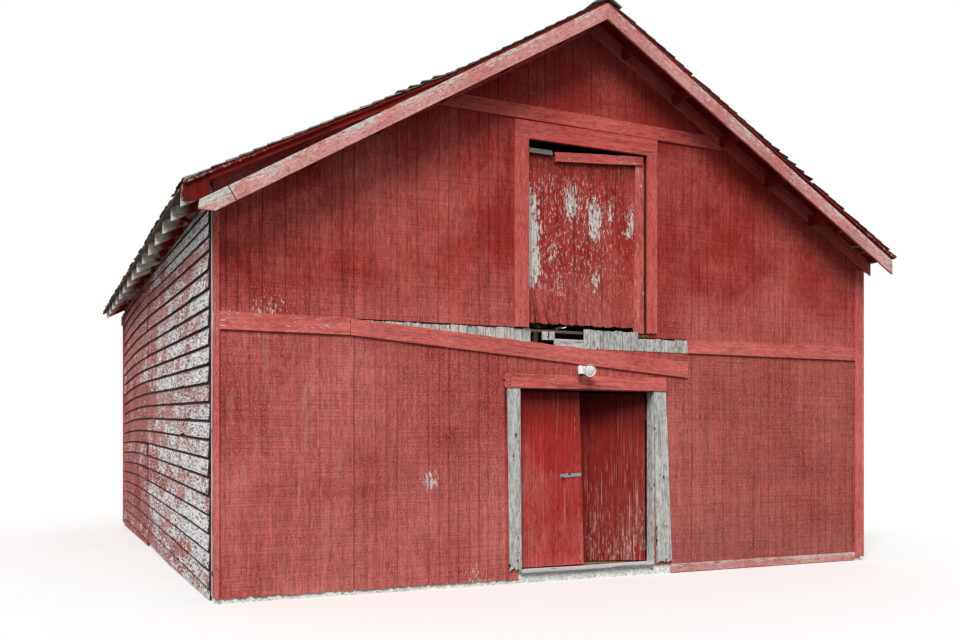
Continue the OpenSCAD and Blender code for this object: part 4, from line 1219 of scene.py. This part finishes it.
class BARN_OT_back_wall(bpy.types.Operator):
    """Laps the boards of the back wall up to the roof"""
    bl_idname = "barn.back_wall"
    bl_label = "Back wall"

    def execute(self, context):
        roof, walls = Roof(context.scene.barn_roof), context.scene.barn_walls
        low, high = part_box("back_clapboards")
        shape = Shape(31)
        under = lambda x: roof.under_deck(x) - 0.004
        place = Vector((0, BACK - walls.lap_thick, 0))
        k = 0
        while low.z + walls.lap_show * k < under(RIDGE_X) - 0.05:
            z = low.z + walls.lap_show * k
            joint = shape.chance.choice((-1.42, -0.20, 0.99, 2.2)) + RIDGE_X
            left = lambda a: max(low.x, reach(under, z + a, -1)) + 0.001
            right = lambda a: min(high.x, reach(under, z + a, 1)) - 0.001
            ends = [(left, right)]
            if left(0.185) + 0.3 < joint < right(0.185) - 0.3:
                ends = [(left, lambda a: joint - 0.0015), (lambda a: joint + 0.0015, right)]
            for start, end in ends:
                lapped_board(shape, walls, place, X, Z, Y, lambda s: z, walls.lap_show, RIDGE_Z, start, end)
            k += 1
        shape.piece("back_clapboards_lapped", lapped_paint(), "clapboard", "back_clapboards")
        return {"FINISHED"}


class BARN_OT_corner_boards(bpy.types.Operator):
    """Sets the boards at the front and back corners and the skirt board"""
    bl_idname = "barn.corner_boards"
    bl_label = "Corner boards"

    def execute(self, context):
        low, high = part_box("corner_boards")
        foot, back_wide = low.z, 0.090
        roof = Roof(context.scene.barn_roof)
        heads = [roof.under_deck(x) - roof.plumb(EDGE_DEEP) - 0.001 for x in (low.x, high.x)]
        shape = Shape(15)
        for x0, x1, depth, head in ((LEFT, LEFT + 0.050, 0.02, heads[0]),
                                    (RIGHT - 0.130, RIGHT, 0.015, heads[1])):
            upright(shape, x0, x1, ragged(shape.chance, depth, foot), head, FRONT - TRIM_THICK, TRIM_BACK,
                    rings=14, strands=4)
        for x0, x1, head in ((low.x, LEFT + back_wide, heads[0]), (RIGHT - back_wide, high.x, heads[1])):
            plank(shape, Vector((x0, STUD_FACE_BACK, 0)), Z, X, Y, x1 - x0, high.y - STUD_FACE_BACK,
                  foot, head, rings=14, strands=4)
        for x0, x1, head in ((low.x, STUD_FACE_LEFT, heads[0]), (STUD_FACE_RIGHT, high.x, heads[1])):
            upright(shape, x0, x1, ragged(shape.chance, 0.03, foot), head, SHEET_BACK + SEAT,
                    SHEET_BACK + 0.030, rings=14, strands=2, slot=1)
        for side, inner, outer, head in ((-1, STUD_FACE_LEFT, low.x, heads[0]),
                                         (1, STUD_FACE_RIGHT, high.x, heads[1])):
            plank(shape, Vector((inner, BACK - back_wide, 0)), Z, Y, X * side,
                  STUD_FACE_BACK - 0.001 - BACK + back_wide, abs(outer - inner), foot, head, rings=14,
                  strands=4)
        shape.piece("corner_boards_nailed", [trim_paint(), silver_board()], "red_trim", "corner_boards")
        (x0, y0, z0), (x1, y1, z1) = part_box("skirt_board")
        skirt = Shape(16)
        level(skirt, x0, x1, z0, z1 - 0.001, y0, y1, rings=24, strands=4,
              shift=lambda s, a, o: (0, 0.006 * max(0.0, ripple(s * 7, 1, 1)) if a < 0.02 else 0, 0))
        skirt.piece("skirt_board_nailed", edge_paint(), "red_trim", "skirt_board")
        return {"FINISHED"}


class BARN_OT_belt_boards(bpy.types.Operator):
    """Sets the belt boards across the front, the fallen one with its own tilt"""
    bl_idname = "barn.belt_boards"
    bl_label = "Belt boards"

    def execute(self, context):
        roof = Roof(context.scene.barn_roof)
        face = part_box("belt_boards")[0].y
        thick = TRIM_BACK - face
        (fx0, _, fz0), (fx1, _, _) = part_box("fallen_belt_board")
        shape = Shape(17)
        chance = shape.chance
        z_left, z_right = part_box("front_siding_left")[1].z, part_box("front_siding_right")[1].z
        level(shape, LEFT + 0.0505, ragged(chance, 0.006, fx0 - 0.001, -1), z_left, z_left + 0.150,
              face, TRIM_BACK, rings=8, strands=5, shift=wavy(0.0007, 5))
        level(shape, ragged(chance, 0.006, fx1 + 0.001), RIGHT - 0.1305, z_right, z_right + 0.140,
              face, TRIM_BACK, rings=12, strands=5, shift=wavy(0.0007, 8))
        tilt, foot, deep = math.radians(0.5), 4.440, 0.135
        along, up = Vector((math.cos(tilt), 0, -math.sin(tilt))), Vector((math.sin(tilt), 0, math.cos(tilt)))
        line = lambda x: roof.under_deck(x) - roof.plumb(EDGE_DEEP) - 0.001
        ends = [[(a, reach(line, foot + a, side) - RIDGE_X) for a in (0.0, deep)] for side in (-1, 1)]
        plank(shape, Vector((RIDGE_X, TRIM_BACK, foot)), along, up, -Y, deep, thick,
              lambda a: between(ends[0], a), lambda a: between(ends[1], a), rings=14, strands=4,
              shift=wavy(0.0007, 2))
        shape.piece("belt_boards_nailed", trim_paint(), "red_trim", "belt_boards")
        fallen = Shape(18)
        run = Vector((fx1 - fx0, 0, fz0 - z_left))
        along, up, lean = tilt_of(run)
        wide, spread = 0.150 * along.x, 0.015 / run.length
        chips = [(chance.uniform(0.1, 3.5), chance.uniform(0.04, 0.16), chance.uniform(0.004, 0.012))
                 for _ in range(9)]

        def bent(s, a, o):
            top = a / wide
            chip = max([0.0] + [d * max(0.0, 1 - abs(s - at) / half) for at, half, d in chips])
            return (0, (spread * s) * top - (chip if top > 0.85 else 0), 0)
        plank(fallen, Vector((fx0, TRIM_BACK, z_left)), along, up, -Y, wide, thick, lambda a: a * lean + 0.001,
              lambda a: run.length + a * lean - 0.001, rings=60, strands=5, shift=bent)
        fallen.piece("fallen_belt_board_cracked", trim_paint(), "red_trim", "fallen_belt_board")
        return {"FINISHED"}


class BARN_OT_doorway(bpy.types.Operator):
    """Sets the boards, jambs and threshold round the doorway"""
    bl_idname = "barn.doorway"
    bl_label = "Doorway"

    def execute(self, context):
        (cx0, face, foot), (cx1, _, head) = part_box("door_casings")
        tall, wide = head - foot, CASING_WIDE
        batten = Shape(55)
        upright(batten, cx0 - 0.026, cx0 - 0.006, ragged(batten.chance, 0.03, 0.03), head - 0.02,
                FRONT - 0.012, TRIM_BACK, rings=14, strands=3,
                shift=lambda s, a, o: (0, 0.020 * (head - s) / tall, 0))
        batten.piece("door_batten", door_paint(), "red_trim")
        # How far each edge of a board stands in at one end
        left_foot, left_head, right_inner, right_outer = 0.024, 0.018, 0.048, cx1 - (DOOR_RIGHT + wide)

        def lean(s, a, o):
            return (0, left_foot * (1 - a / wide) * (head - s) / tall
                    - left_head * a / wide * (s - foot) / tall, 0)

        def widen(s, a, o):
            return (0, (right_inner + (right_outer - right_inner) * a / wide)
                    * max(0.0, 1 - (s - foot) / tall), 0)
        shape = Shape(51)
        for x0, x1, depth, shift in ((cx0, DOOR_LEFT, 0.05, lean),
                                     (DOOR_RIGHT, DOOR_RIGHT + wide, 0.03, widen)):
            upright(shape, x0, x1, ragged(shape.chance, depth, foot), head - 0.001, face, TRIM_BACK, rings=12,
                    strands=8, shift=shift)
        shape.piece("door_casings_nailed", silver_board(0.5), "grey_wood", "door_casings")
        (x0, y0, z0), (x1, y1, z1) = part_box("door_jambs")
        jambs = Shape(52)
        for a, b in ((x0, DOOR_LEFT), (DOOR_RIGHT, x1)):
            plank(jambs, Vector((a, y0 + 0.001, 0)), Z, X, Y, b - a, y1 - y0 - 0.001, z0, z1, rings=8)
        jambs.piece("door_jambs_nailed", silver_board(0.6), "grey_wood", "door_jambs")
        (x0, y0, z0), (x1, y1, z1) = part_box("threshold")
        sill, cut = Shape(53), -4.158
        for a, b in ((y0, cut - 0.001), (cut + 0.001, y1)):
            plank(sill, Vector((0, a, z0)), X, Y, Z, b - a, z1 - z0, x0, x1, rings=20, strands=3,
                  shift=lambda s, a, o: (0, 0, -0.004 * max(0.0, 1 - abs(s) / 0.5) if o > 0.01 else 0))
        sill.piece("threshold_boards", silver_board(), "grey_wood", "threshold")
        (x0, _, z0), (x1, _, z1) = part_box("door_header")
        header = Shape(54)
        level(header, ragged(header.chance, 0.03, x0), x1, z0, z1, FRONT - 0.025, TRIM_BACK, rings=16,
              strands=8, shift=wavy(0.001, 3))
        level(header, ragged(header.chance, 0.05, x0 + 0.042), x1, z0, z0 + 0.095, FRONT - 0.037,
              FRONT - 0.0252, rings=24, strands=8,
              shift=lambda s, a, o: (0, -0.012 * max(0.0, ripple(s * 6, 7, 1)) if a > 0.085 else 0,
                                     -0.001 * (1 + ripple(s * 2, 3, 1))))
        header.piece("door_header_layers", trim_paint(0.08), "red_trim", "door_header")
        return {"FINISHED"}


def strap_heights():
    """Heights of the leaves' ledges and hinge straps"""
    low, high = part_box("left_leaf")
    return low.z + 0.170, high.z - 0.230


def leaf(seed):
    """The boards, ledges and brace of the left leaf; the right one is this one mirrored and turned"""
    shape = Shape(seed)
    chance = shape.chance
    (x0, y0, z0), (x1, y1, z1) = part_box("left_leaf")
    back = y0 + LEAF_BOARD + SEAT
    worn = lambda z: LEAF_WORN * (z - z0) / (z1 - z0)
    cuts = [x0 + (x1 - x0) * (i + (chance.uniform(-0.12, 0.12) if 0 < i < 5 else 0)) / 5 for i in range(6)]
    for a, b in zip(cuts, cuts[1:]):
        bend, lean = chance.uniform(0, 90), 1 / (b - a) if b == x1 else 0
        upright(shape, a + 0.0012, b - 0.0012, ragged(chance, 0.006, z0), z1 - chance.uniform(0, 0.003),
                y0 + 0.0004, y0 + LEAF_BOARD, rings=10, strands=3, chamfer=0.0022,
                shift=lambda s, a, o: (0, -worn(s) * a * lean,
                                       -0.0009 * (1 + ripple(s * 1.5, bend, 1)) if o > 0.01 else 0))
    ledges = strap_heights()
    for z in ledges:
        level(shape, x0 + 0.001, x1 - 0.016 - worn(z + 0.06), z - 0.060, z + 0.060, back, y1, rings=3)
    foot = Vector((x0 + 0.020, back, ledges[0] + 0.061))
    head = Vector((x1 - 0.175, back, ledges[1] - 0.061))
    along = (head - foot).normalized()
    plank(shape, foot, along, Vector((along.z, 0, -along.x)), Y, 0.110 * along.z, y1 - back,
          lambda a: a * along.x / along.z, lambda a: (head - foot).length + a * along.x / along.z, rings=3)
    return shape


def right_turn():
    """Takes the left leaf to the right side and turns it ajar"""
    pin = Vector((DOOR_RIGHT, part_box("hinge_pintles")[1].y - 0.008, 0))
    mirror = Matrix.Translation((2 * RIDGE_X, 0, 0)) @ Matrix.Diagonal((-1, 1, 1, 1))
    ajar = Matrix.Rotation(math.radians(-20), 4, "Z")
    return Matrix.Translation(pin) @ ajar @ Matrix.Translation(-pin) @ mirror


class BARN_OT_door_leaves(bpy.types.Operator):
    """Builds both leaves of the door board by board, with their nails and ironwork"""
    bl_idname = "barn.door_leaves"
    bl_label = "Door leaves"

    def execute(self, context):
        for name in ("hinge_pintles", "left_leaf_iron", "right_leaf_iron"):
            dress(iron(), name)
            round_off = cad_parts[name].modifiers.new("Worn edges", "BEVEL")
            round_off.width, round_off.segments, round_off.limit_method = 0.0008, 1, "ANGLE"
        (x0, y0, z0), (x1, y1, z1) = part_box("left_leaf")
        hasp_z, hasp_tilt = 1.030, math.radians(3)
        turns = {"left": Matrix.Identity(4), "right": right_turn()}
        for side, seed in (("left", 61), ("right", 67)):
            leaf(seed).moved(turns[side]).piece(side + "_leaf_boards", door_paint(), "red_door",
                                                side + "_leaf", body=side + "_door")
        for side, turn in turns.items():
            shape = Shape(5)
            for z in strap_heights():
                for x in (x0 + 0.06, x0 + 0.17, x0 + 0.29, x0 + 0.40):
                    nail(shape, (x, y1 + 0.006, z), Y, 0.007, 0.003)
                for x in [x0 + 0.075 + 0.148 * i + d for i in range(5) for d in (-0.03, 0.03)]:
                    nail(shape, (x, y0 + 0.0004, z + 0.03 * (-1) ** round(x * 100)), -Y, 0.004, slot=1)
            if side == "left":
                edge = x1 - 0.008 - LEAF_WORN * (hasp_z - z0) / (z1 - z0)
                for dx, dz in ((-0.035, 0.006), (-0.035, -0.008), (-0.11, 0.0), (-0.16, 0.0)):
                    place = Vector((edge + dx, y0 - 0.005, hasp_z - dx * math.tan(hasp_tilt) + dz))
                    nail(shape, place, -Y, 0.0055, 0.0022)
                nail(shape, place + Vector((0.026, 0, 0)), -Y, 0.013, 0.012, slot=2)
            shape.moved(turn).piece(side + "_leaf_screws", [iron(), painted_nail(), rusty_nail()], "iron",
                                    body=side + "_door")
        return {"FINISHED"}


class BARN_OT_loft_door(bpy.types.Operator):
    """Builds the shut loft door, the boards round it and its slipped stops"""
    bl_idname = "barn.loft_door"
    bl_label = "Loft door"

    def execute(self, context):
        (x0, y0, z0), (x1, y1, z1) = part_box("loft_door")
        door = Shape(81)
        chance = door.chance
        # Edges of the boards, and how far and how high the slit at each one leans
        edges = [(x0, 0, 0.1), (x0 + 0.055, 0.056, 0.34), (x0 + 0.190, 0.060, 0.20)]
        edges += [(x0 + 0.365 + 0.163 * i, 0, 0.1) for i in range(5)] + [(x1, 0, 0.1)]
        for (a, lean_a, tall_a), (b, lean_b, tall_b) in zip(edges, edges[1:]):
            chance.random()

            def split(s, across, out):
                left, right = [max(0.0, 1 - (s - z0) / tall) * (lean + (gap if lean else 0))
                               for lean, tall, gap in ((lean_a, tall_a, 0.005), (lean_b, tall_b, -0.005))]
                return (0, left + (right - left) * across / (b - a), 0)
            upright(door, a + 0.002, b - 0.002, ragged(chance, 0.02, z0), z1 - chance.uniform(0, 0.012),
                    y0 + 0.0005, y0 + LEAF_BOARD, rings=24, strands=4, chamfer=0.0025, shift=split)
        for z in (z0 + 0.200, z1 - 0.320):
            level(door, x0 + 0.001, x1 - 0.001, z, z + 0.120, y0 + LEAF_BOARD + SEAT, y1, rings=3)
        door.piece("loft_door_boards", loft_paint(), "red_door", "loft_door")
        (x0, face, z0), (x1, _, z1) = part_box("loft_side_casings")
        sides = Shape(82)
        for a, b, depth, seed in ((x0, LOFT_LEFT, 0.006, 2), (LOFT_RIGHT, x1, 0.012, 7)):
            upright(sides, a, b, ragged(sides.chance, depth, z0), z1 - 0.001, face, TRIM_BACK, rings=14,
                    strands=5, shift=wavy(0.0009, seed))
        sides.piece("loft_side_casings_nailed", trim_paint(), "red_trim", "loft_side_casings")
        (x0, face, z0), (x1, _, z1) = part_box("loft_top_casing")
        top = Shape(83)
        level(top, x0, x1, z0 + 0.0005, z1, face, TRIM_BACK, rings=14, strands=5, shift=wavy(0.0009, 5))
        top.piece("loft_top_casing_nailed", trim_paint(), "red_trim", "loft_top_casing")
        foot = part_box("loft_door_stops")[0].z
        stops = Shape(84)
        wide, lean = 0.130, 0.024
        plank(stops, Vector((LOFT_RIGHT - wide - lean / 2, SHEET_BACK + 0.019, 0)), Z, X, -Y,
              wide + lean / 2 - 0.016, 0.0185, ragged(stops.chance, 0.01, foot), LOFT_HEAD - 0.086, rings=12,
              strands=4, shift=lambda s, a, o: (0, lean * (s - foot) / 1.70 * max(0.0, 1 - a / wide), 0))
        rail = Vector((1.063, 0, 0.080))
        along, up, slope = tilt_of(rail)
        plank(stops, Vector((LOFT_RIGHT - rail.x, SHEET_BACK - 0.0006, LOFT_HEAD - 0.180)), along, up, -Y,
              0.092 * along.x, 0.0150, lambda a: a * slope + 0.012 * ripple(a * 60, 4, 1) + 0.008,
              lambda a: rail.length + a * slope - 0.037 + 0.006 * ripple(a * 70, 8, 1), rings=14, strands=8,
              shift=lambda s, a, o: (0, -0.006 * max(0.0, ripple(s * 5, 1, 1)) if a > 0.08 else 0, 0))
        level(stops, LOFT_LEFT + 0.001, ragged(stops.chance, 0.02, LOFT_RIGHT - rail.x - 0.012, -1),
              LOFT_HEAD - 0.124, LOFT_HEAD - 0.079, FRONT + 0.0004, SHEET_BACK, rings=3, strands=5, slot=1)
        stops.piece("loft_door_stops_slipped", [trim_paint(0.13), grey_board()], "red_trim", "loft_door_stops")
        return {"FINISHED"}


def gable_boards(seed, top, deep, ends, at, out, nose=None):
    """One gable's pair of edge boards, the left one in two lengths where it has a nose"""
    shape = Shape(seed)
    left, right = ends
    thick, half_gap, nick_deep, nick_half = 0.0248, 0.0006, 0.005, 0.035
    # Where the nose ends, along the board, and the open joint behind it
    cut, joint = 0.262 + 0.070, 0.010
    knots = [shape.chance.uniform(0.3, 4.2) for _ in range(9)]

    def worn(s, a, o):
        nick = sum(nick_deep * max(0.0, 1 - abs(s - k) / nick_half) for k in knots)
        return (0, nick if a < 0.01 else -nick * 0.6 if a > 0.13 else 0, 0)
    if nose:
        sloping(shape, left, RIDGE_X, top, deep, at, thick, out, start=lambda a: between(nose, a),
                end=lambda a: cut, rings=6, strands=14)
    sloping(shape, left, RIDGE_X - half_gap, top, deep, at, thick, out,
            start=(lambda a: cut + joint) if nose else None, rings=44, strands=5, shift=worn)
    sloping(shape, RIDGE_X + half_gap, right, top, deep, at, thick, out, rings=44, strands=5, shift=worn)
    return shape


class BARN_OT_roof_edges(bpy.types.Operator):
    """Sets the sloping boards at the gables: frieze, strips, edge boards and the return board"""
    bl_idname = "barn.roof_edges"
    bl_label = "Roof edges"

    def execute(self, context):
        roof = Roof(context.scene.barn_roof)
        kink, under = RIDGE_X - roof.sizes.kink, roof.under_deck
        frieze, half = Shape(91), 0.0005
        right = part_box("rake_frieze")[1].x
        for x0, x1 in ((LEFT, kink - half), (kink + half, RIDGE_X - half), (RIDGE_X + half, right)):
            sloping(frieze, x0, x1, under, roof.plumb(EDGE_DEEP), TRIM_BACK, 0.0187, -Y, strands=4)
        frieze.piece("rake_frieze_boards", trim_paint(), "red_trim", "rake_frieze")
        (left, front, _), (right, back, _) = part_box("rake_strips")
        strips = Shape(92)
        for x0, x1 in ((left, kink), (kink, RIDGE_X - 0.005), (RIDGE_X + 0.005, right)):
            sloping(strips, x0, x1, under, roof.plumb(0.045), back, back - front - SEAT, -Y, strands=2)
        strips.piece("rake_strips_nailed", soffit_paint(), "red_trim", "rake_strips")

        peak, deep = under(RIDGE_X), roof.plumb(EDGE_DEEP)
        top = lambda x: peak - abs(x - RIDGE_X) * EDGE_SLOPES[-1 if x < RIDGE_X else 1]
        left = LEFT - 0.161
        run = Vector((1, 0, EDGE_SLOPES[-1])).normalized()
        corner = Vector((left, 0, top(left) - deep))
        nose = []
        for x, z in ((left + 0.125, top(left + 0.125) - deep), (left - 0.012, top(left) - 0.076),
                     (left, top(left))):
            away = Vector((x, 0, z)) - corner
            nose.append((-run.z * away.x + run.x * away.z, run.x * away.x + run.z * away.z))
        gable_boards(94, top, deep, (left, RIGHT + 0.080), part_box("left_barge_board")[1].y, -Y, nose).piece(
            "front_barge_boards", edge_paint(), "faded_trim", "left_barge_board", "right_barge_board")
        gable_boards(95, top, deep, (LEFT, RIGHT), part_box("back_barge_boards")[0].y, Y).piece(
            "back_barge_boards_nailed", edge_paint(), "faded_trim", "back_barge_boards")
        (x0, y0, z0), (x1, y1, _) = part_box("eave_return")
        board = Shape(97)
        upright(board, x0, x1, lambda a: z0 + 0.033 * a / (x1 - x0), lambda a: under(x0 + a) - 0.001,
                y0 + SEAT, y1, rings=6, strands=12)
        board.piece("eave_return_board", return_paint(), "red_plywood", "eave_return")
        return {"FINISHED"}


def aimed(tilt, turn):
    """A direction given by its angle from straight up and by its turn from the front"""
    a, b = math.radians(tilt), math.radians(turn)
    return Vector((math.sin(b) * math.sin(a), -math.cos(b) * math.sin(a), math.cos(a)))


class BARN_OT_lamp(bpy.types.Operator):
    """Builds the lamp and its sensor over the doorway"""
    bl_idname = "barn.lamp"
    bl_label = "Lamp"

    def execute(self, context):
        middle = Vector((RIDGE_X - 0.060, FRONT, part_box("door_header")[1].z + 0.011 + 0.042))
        wide, tall, deep, around = 0.104, 0.084, 0.034, 32
        box = Shape(101)
        points = []
        for inset, out in ((0.0, 0.0), (0.0, 0.029), (0.0018, 0.033), (0.006, deep)):
            for i in range(around):
                turn = math.tau * (i + 0.5) / around
                c, s = math.cos(turn), math.sin(turn)
                blunt = max(abs(c) ** 7 + abs(s) ** 7, 1e-9) ** (-1 / 7)
                points.append(middle + Vector((c * blunt * (wide / 2 - inset), -out,
                                               s * blunt * (tall / 2 - inset))))
        faces = [(r * around + i, r * around + (i + 1) % around, (r + 1) * around + (i + 1) % around,
                  (r + 1) * around + i) for r in range(3) for i in range(around)]
        faces += [tuple(range(around - 1, -1, -1)), tuple(3 * around + i for i in range(around))]
        box.add(points, faces)
        for dx in (-0.038, 0.038):
            nail(box, middle + Vector((dx * 0.2, -deep, dx * 0.75)), -Y, 0.0042, 0.0018)

        def fitting(x, y, z, *way):
            return Vector((middle.x + x, FRONT - deep + y, middle.z + z)), aimed(*way)
        head = fitting(0.019, 0.002, 0, 96, -15)
        arm = fitting(-0.038, 0.002, 0.010, 97, -45)
        sensor = fitting(-0.080, -0.036, 0.036, 150, -20)
        glass, rubber = Shape(102), Shape(103)
        for shape, fixed, sides, rows in (
                (box, head, 32, [(0.016, 0), (0.0165, 0.012), (0.0135, 0.014), (0.0135, 0.020),
                                 (0.0175, 0.022), (0.0185, 0.045), (0.024, 0.050), (0.034, 0.060)]),
                (box, head, 48, [(0.020, 0.052), (0.035, 0.060), (0.046, 0.076), (0.054, 0.092),
                                 (0.0588, 0.104), (0.0594, 0.1125), (0.0580, 0.1165), (0.0550, 0.1155),
                                 (0.0530, 0.109), (0.0515, 0.105)]),
                (box, arm, 28, [(0.0105, 0), (0.011, 0.012), (0.0085, 0.014), (0.0085, 0.020),
                                (0.0110, 0.022), (0.0115, 0.052), (0.0095, 0.054)]),
                (box, sensor, 40, [(0.012, 0.0004), (0.0205, 0.004), (0.0250, 0.013), (0.0275, 0.024),
                                   (0.0283, 0.060), (0.0286, 0.100), (0.0262, 0.1040), (0.0235, 0.1030)]),
                (glass, head, 48, [(0.0515, 0.1045), (0.0524, 0.1060), (0.047, 0.1105), (0.031, 0.1150),
                                   (0.012, 0.1170)]),
                (rubber, head, 32, [(0.0142, 0.0135), (0.0150, 0.0150), (0.0150, 0.0190), (0.0142, 0.0205)]),
                (rubber, arm, 28, [(0.0092, 0.0135), (0.0098, 0.015), (0.0098, 0.019), (0.0092, 0.0205)]),
                (rubber, sensor, 40, [(0.0230, 0.1025), (0.0240, 0.1045), (0.0200, 0.1085),
                                      (0.0090, 0.1105)])):
            turned_form(shape, *fixed, rows, sides)
        box.piece("floodlight_body", lamp_enamel(), "lamp_white", "floodlight", smooth=35)
        glass.piece("floodlight_lenses", lamp_glass(), "lamp_white", smooth=35)
        rubber.piece("floodlight_seals", lamp_rubber(), "lamp_white", smooth=35)
        return {"FINISHED"}


class BARN_OT_nails(bpy.types.Operator):
    """Drives the nails of the sheets, the trim and the lapped boards"""
    bl_idname = "barn.nails"
    bl_label = "Nails"

    def execute(self, context):
        roof, walls = Roof(context.scene.barn_roof), context.scene.barn_walls
        chance = random.Random(7)
        sheets, trim, lapped = Shape(111), Shape(113), Shape(112)
        for k in range(12):
            x = LEFT + 0.012 + k * walls.sheet_width / 2 + (0.010 if k else 0.012)
            z = 0.20
            while z < roof.under_deck(x) - 0.22:
                inside_door = DOOR_LEFT - 0.16 < x < DOOR_RIGHT + 0.23 and z < 2.02
                inside_loft = LOFT_LEFT - 0.16 < x < LOFT_RIGHT + 0.13 and z > 2.28
                if not inside_door and not inside_loft and not 2.0 < z < 2.48:
                    nail(sheets, (x + chance.uniform(-0.004, 0.004), FRONT + 0.0032, z), -Y, 0.0042, 0.0016)
                z += 0.30 + chance.uniform(-0.03, 0.03)
        sheets.piece("sheet_nails", painted_nail(), "red_plywood")
        sunk, proud = 0.0004, 0.0014
        # The rows of nails up each board: place across the front, lowest and highest nail, its thickness
        for x, z0, z1, thick in (
                (LEFT + 0.025, 0.3, 3.0, TRIM_THICK), (RIGHT - 0.035, 0.3, 3.0, TRIM_THICK),
                (RIGHT - 0.10, 0.35, 3.0, TRIM_THICK),
                (LOFT_LEFT - 0.03, 2.6, 4.2, CASING_THICK), (LOFT_LEFT - 0.12, 2.6, 4.2, CASING_THICK),
                (LOFT_RIGHT + 0.03, 2.6, 4.2, CASING_THICK), (LOFT_RIGHT + 0.09, 2.6, 4.2, CASING_THICK),
                (DOOR_LEFT - 0.03, 0.3, 1.8, CASING_THICK), (DOOR_LEFT - 0.115, 0.35, 1.8, CASING_THICK),
                (DOOR_RIGHT + 0.035, 0.3, 1.8, CASING_THICK), (DOOR_RIGHT + 0.115, 0.35, 1.8, CASING_THICK)):
            while z0 < z1:
                nail(trim, (x, FRONT - thick + sunk, z0), -Y, proud=proud)
                z0 += 0.40 + chance.uniform(-0.04, 0.04)
        top, face = roof.under_deck(RIDGE_X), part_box("left_barge_board")[0].y + sunk
        stud_gap = 0.61
        for side, slope in EDGE_SLOPES.items():
            for i in range(6):
                for d in (0.045, 0.115):
                    x = RIDGE_X + side * ((i + 0.6) * stud_gap + 0.02)
                    nail(trim, (x, face, top - abs(x - RIDGE_X) * slope - d), -Y, proud=proud)
        trim.piece("trim_nails", rusty_nail(), "red_trim")
        left_line, sunk, head = left_butt_line(walls), 0.0055, (0.0042, 0.0016)
        level_line = lambda k: 0.045 + walls.lap_show * k + 0.035
        for k in range(22):
            for i in range(14):
                y = FRONT + 0.14 + i * 0.591
                z = left_line(k, y) + 0.035 + chance.uniform(-0.004, 0.004)
                if 0.03 < z < 3.3:
                    nail(lapped, (LEFT + sunk, y, z), -X, *head)
                if level_line(k) < 3.1:
                    nail(lapped, (RIGHT - sunk, y, level_line(k)), X, *head)
        for k in range(34):
            for i in range(13):
                x = LEFT + 0.12 + i * 0.585
                if level_line(k) < roof.under_deck(x) - 0.05 and x < RIGHT - 0.1:
                    nail(lapped, (x, BACK - sunk, level_line(k)), Y, *head)
        lapped.piece("lapped_board_nails", rusty_nail(), "clapboard")
        return {"FINISHED"}


STEPS = (BARN_OT_stage, BARN_OT_frame_wood, BARN_OT_floors, BARN_OT_roof_boards, BARN_OT_shingles,
         BARN_OT_sheets, BARN_OT_old_boards, BARN_OT_side_walls, BARN_OT_back_wall, BARN_OT_corner_boards,
         BARN_OT_belt_boards, BARN_OT_doorway, BARN_OT_door_leaves, BARN_OT_loft_door, BARN_OT_roof_edges,
         BARN_OT_lamp, BARN_OT_nails)
GROUPS = {"barn_roof": BarnRoofSizes, "barn_walls": BarnWallSizes, "barn_paints": BarnPaints}


class BARN_PT_sidebar(bpy.types.Panel):
    """Lists the barn's pieces and the sizes and colours they are made with"""
    bl_idname = "BARN_PT_sidebar"
    bl_label = "Red barn"
    bl_space_type = "VIEW_3D"
    bl_region_type = "UI"
    bl_category = "Barn"

    def draw(self, context):
        for step in STEPS:
            self.layout.operator(step.bl_idname)
        for name in GROUPS:
            group = getattr(context.scene, name)
            for key in group.__annotations__:
                self.layout.prop(group, key)


def register():
    for group in GROUPS.values():
        bpy.utils.register_class(group)
    for name, group in GROUPS.items():
        setattr(bpy.types.Scene, name, bpy.props.PointerProperty(type=group))
    for step in (*STEPS, BARN_PT_sidebar):
        bpy.utils.register_class(step)


def unregister():
    for step in (BARN_PT_sidebar, *reversed(STEPS)):
        bpy.utils.unregister_class(step)
    for name in GROUPS:
        delattr(bpy.types.Scene, name)
    for group in GROUPS.values():
        bpy.utils.unregister_class(group)


def main():
    register()
    for step in STEPS:
        kind, name = step.bl_idname.split(".")
        getattr(getattr(bpy.ops, kind), name)()


if __name__ == "__main__":
    main()
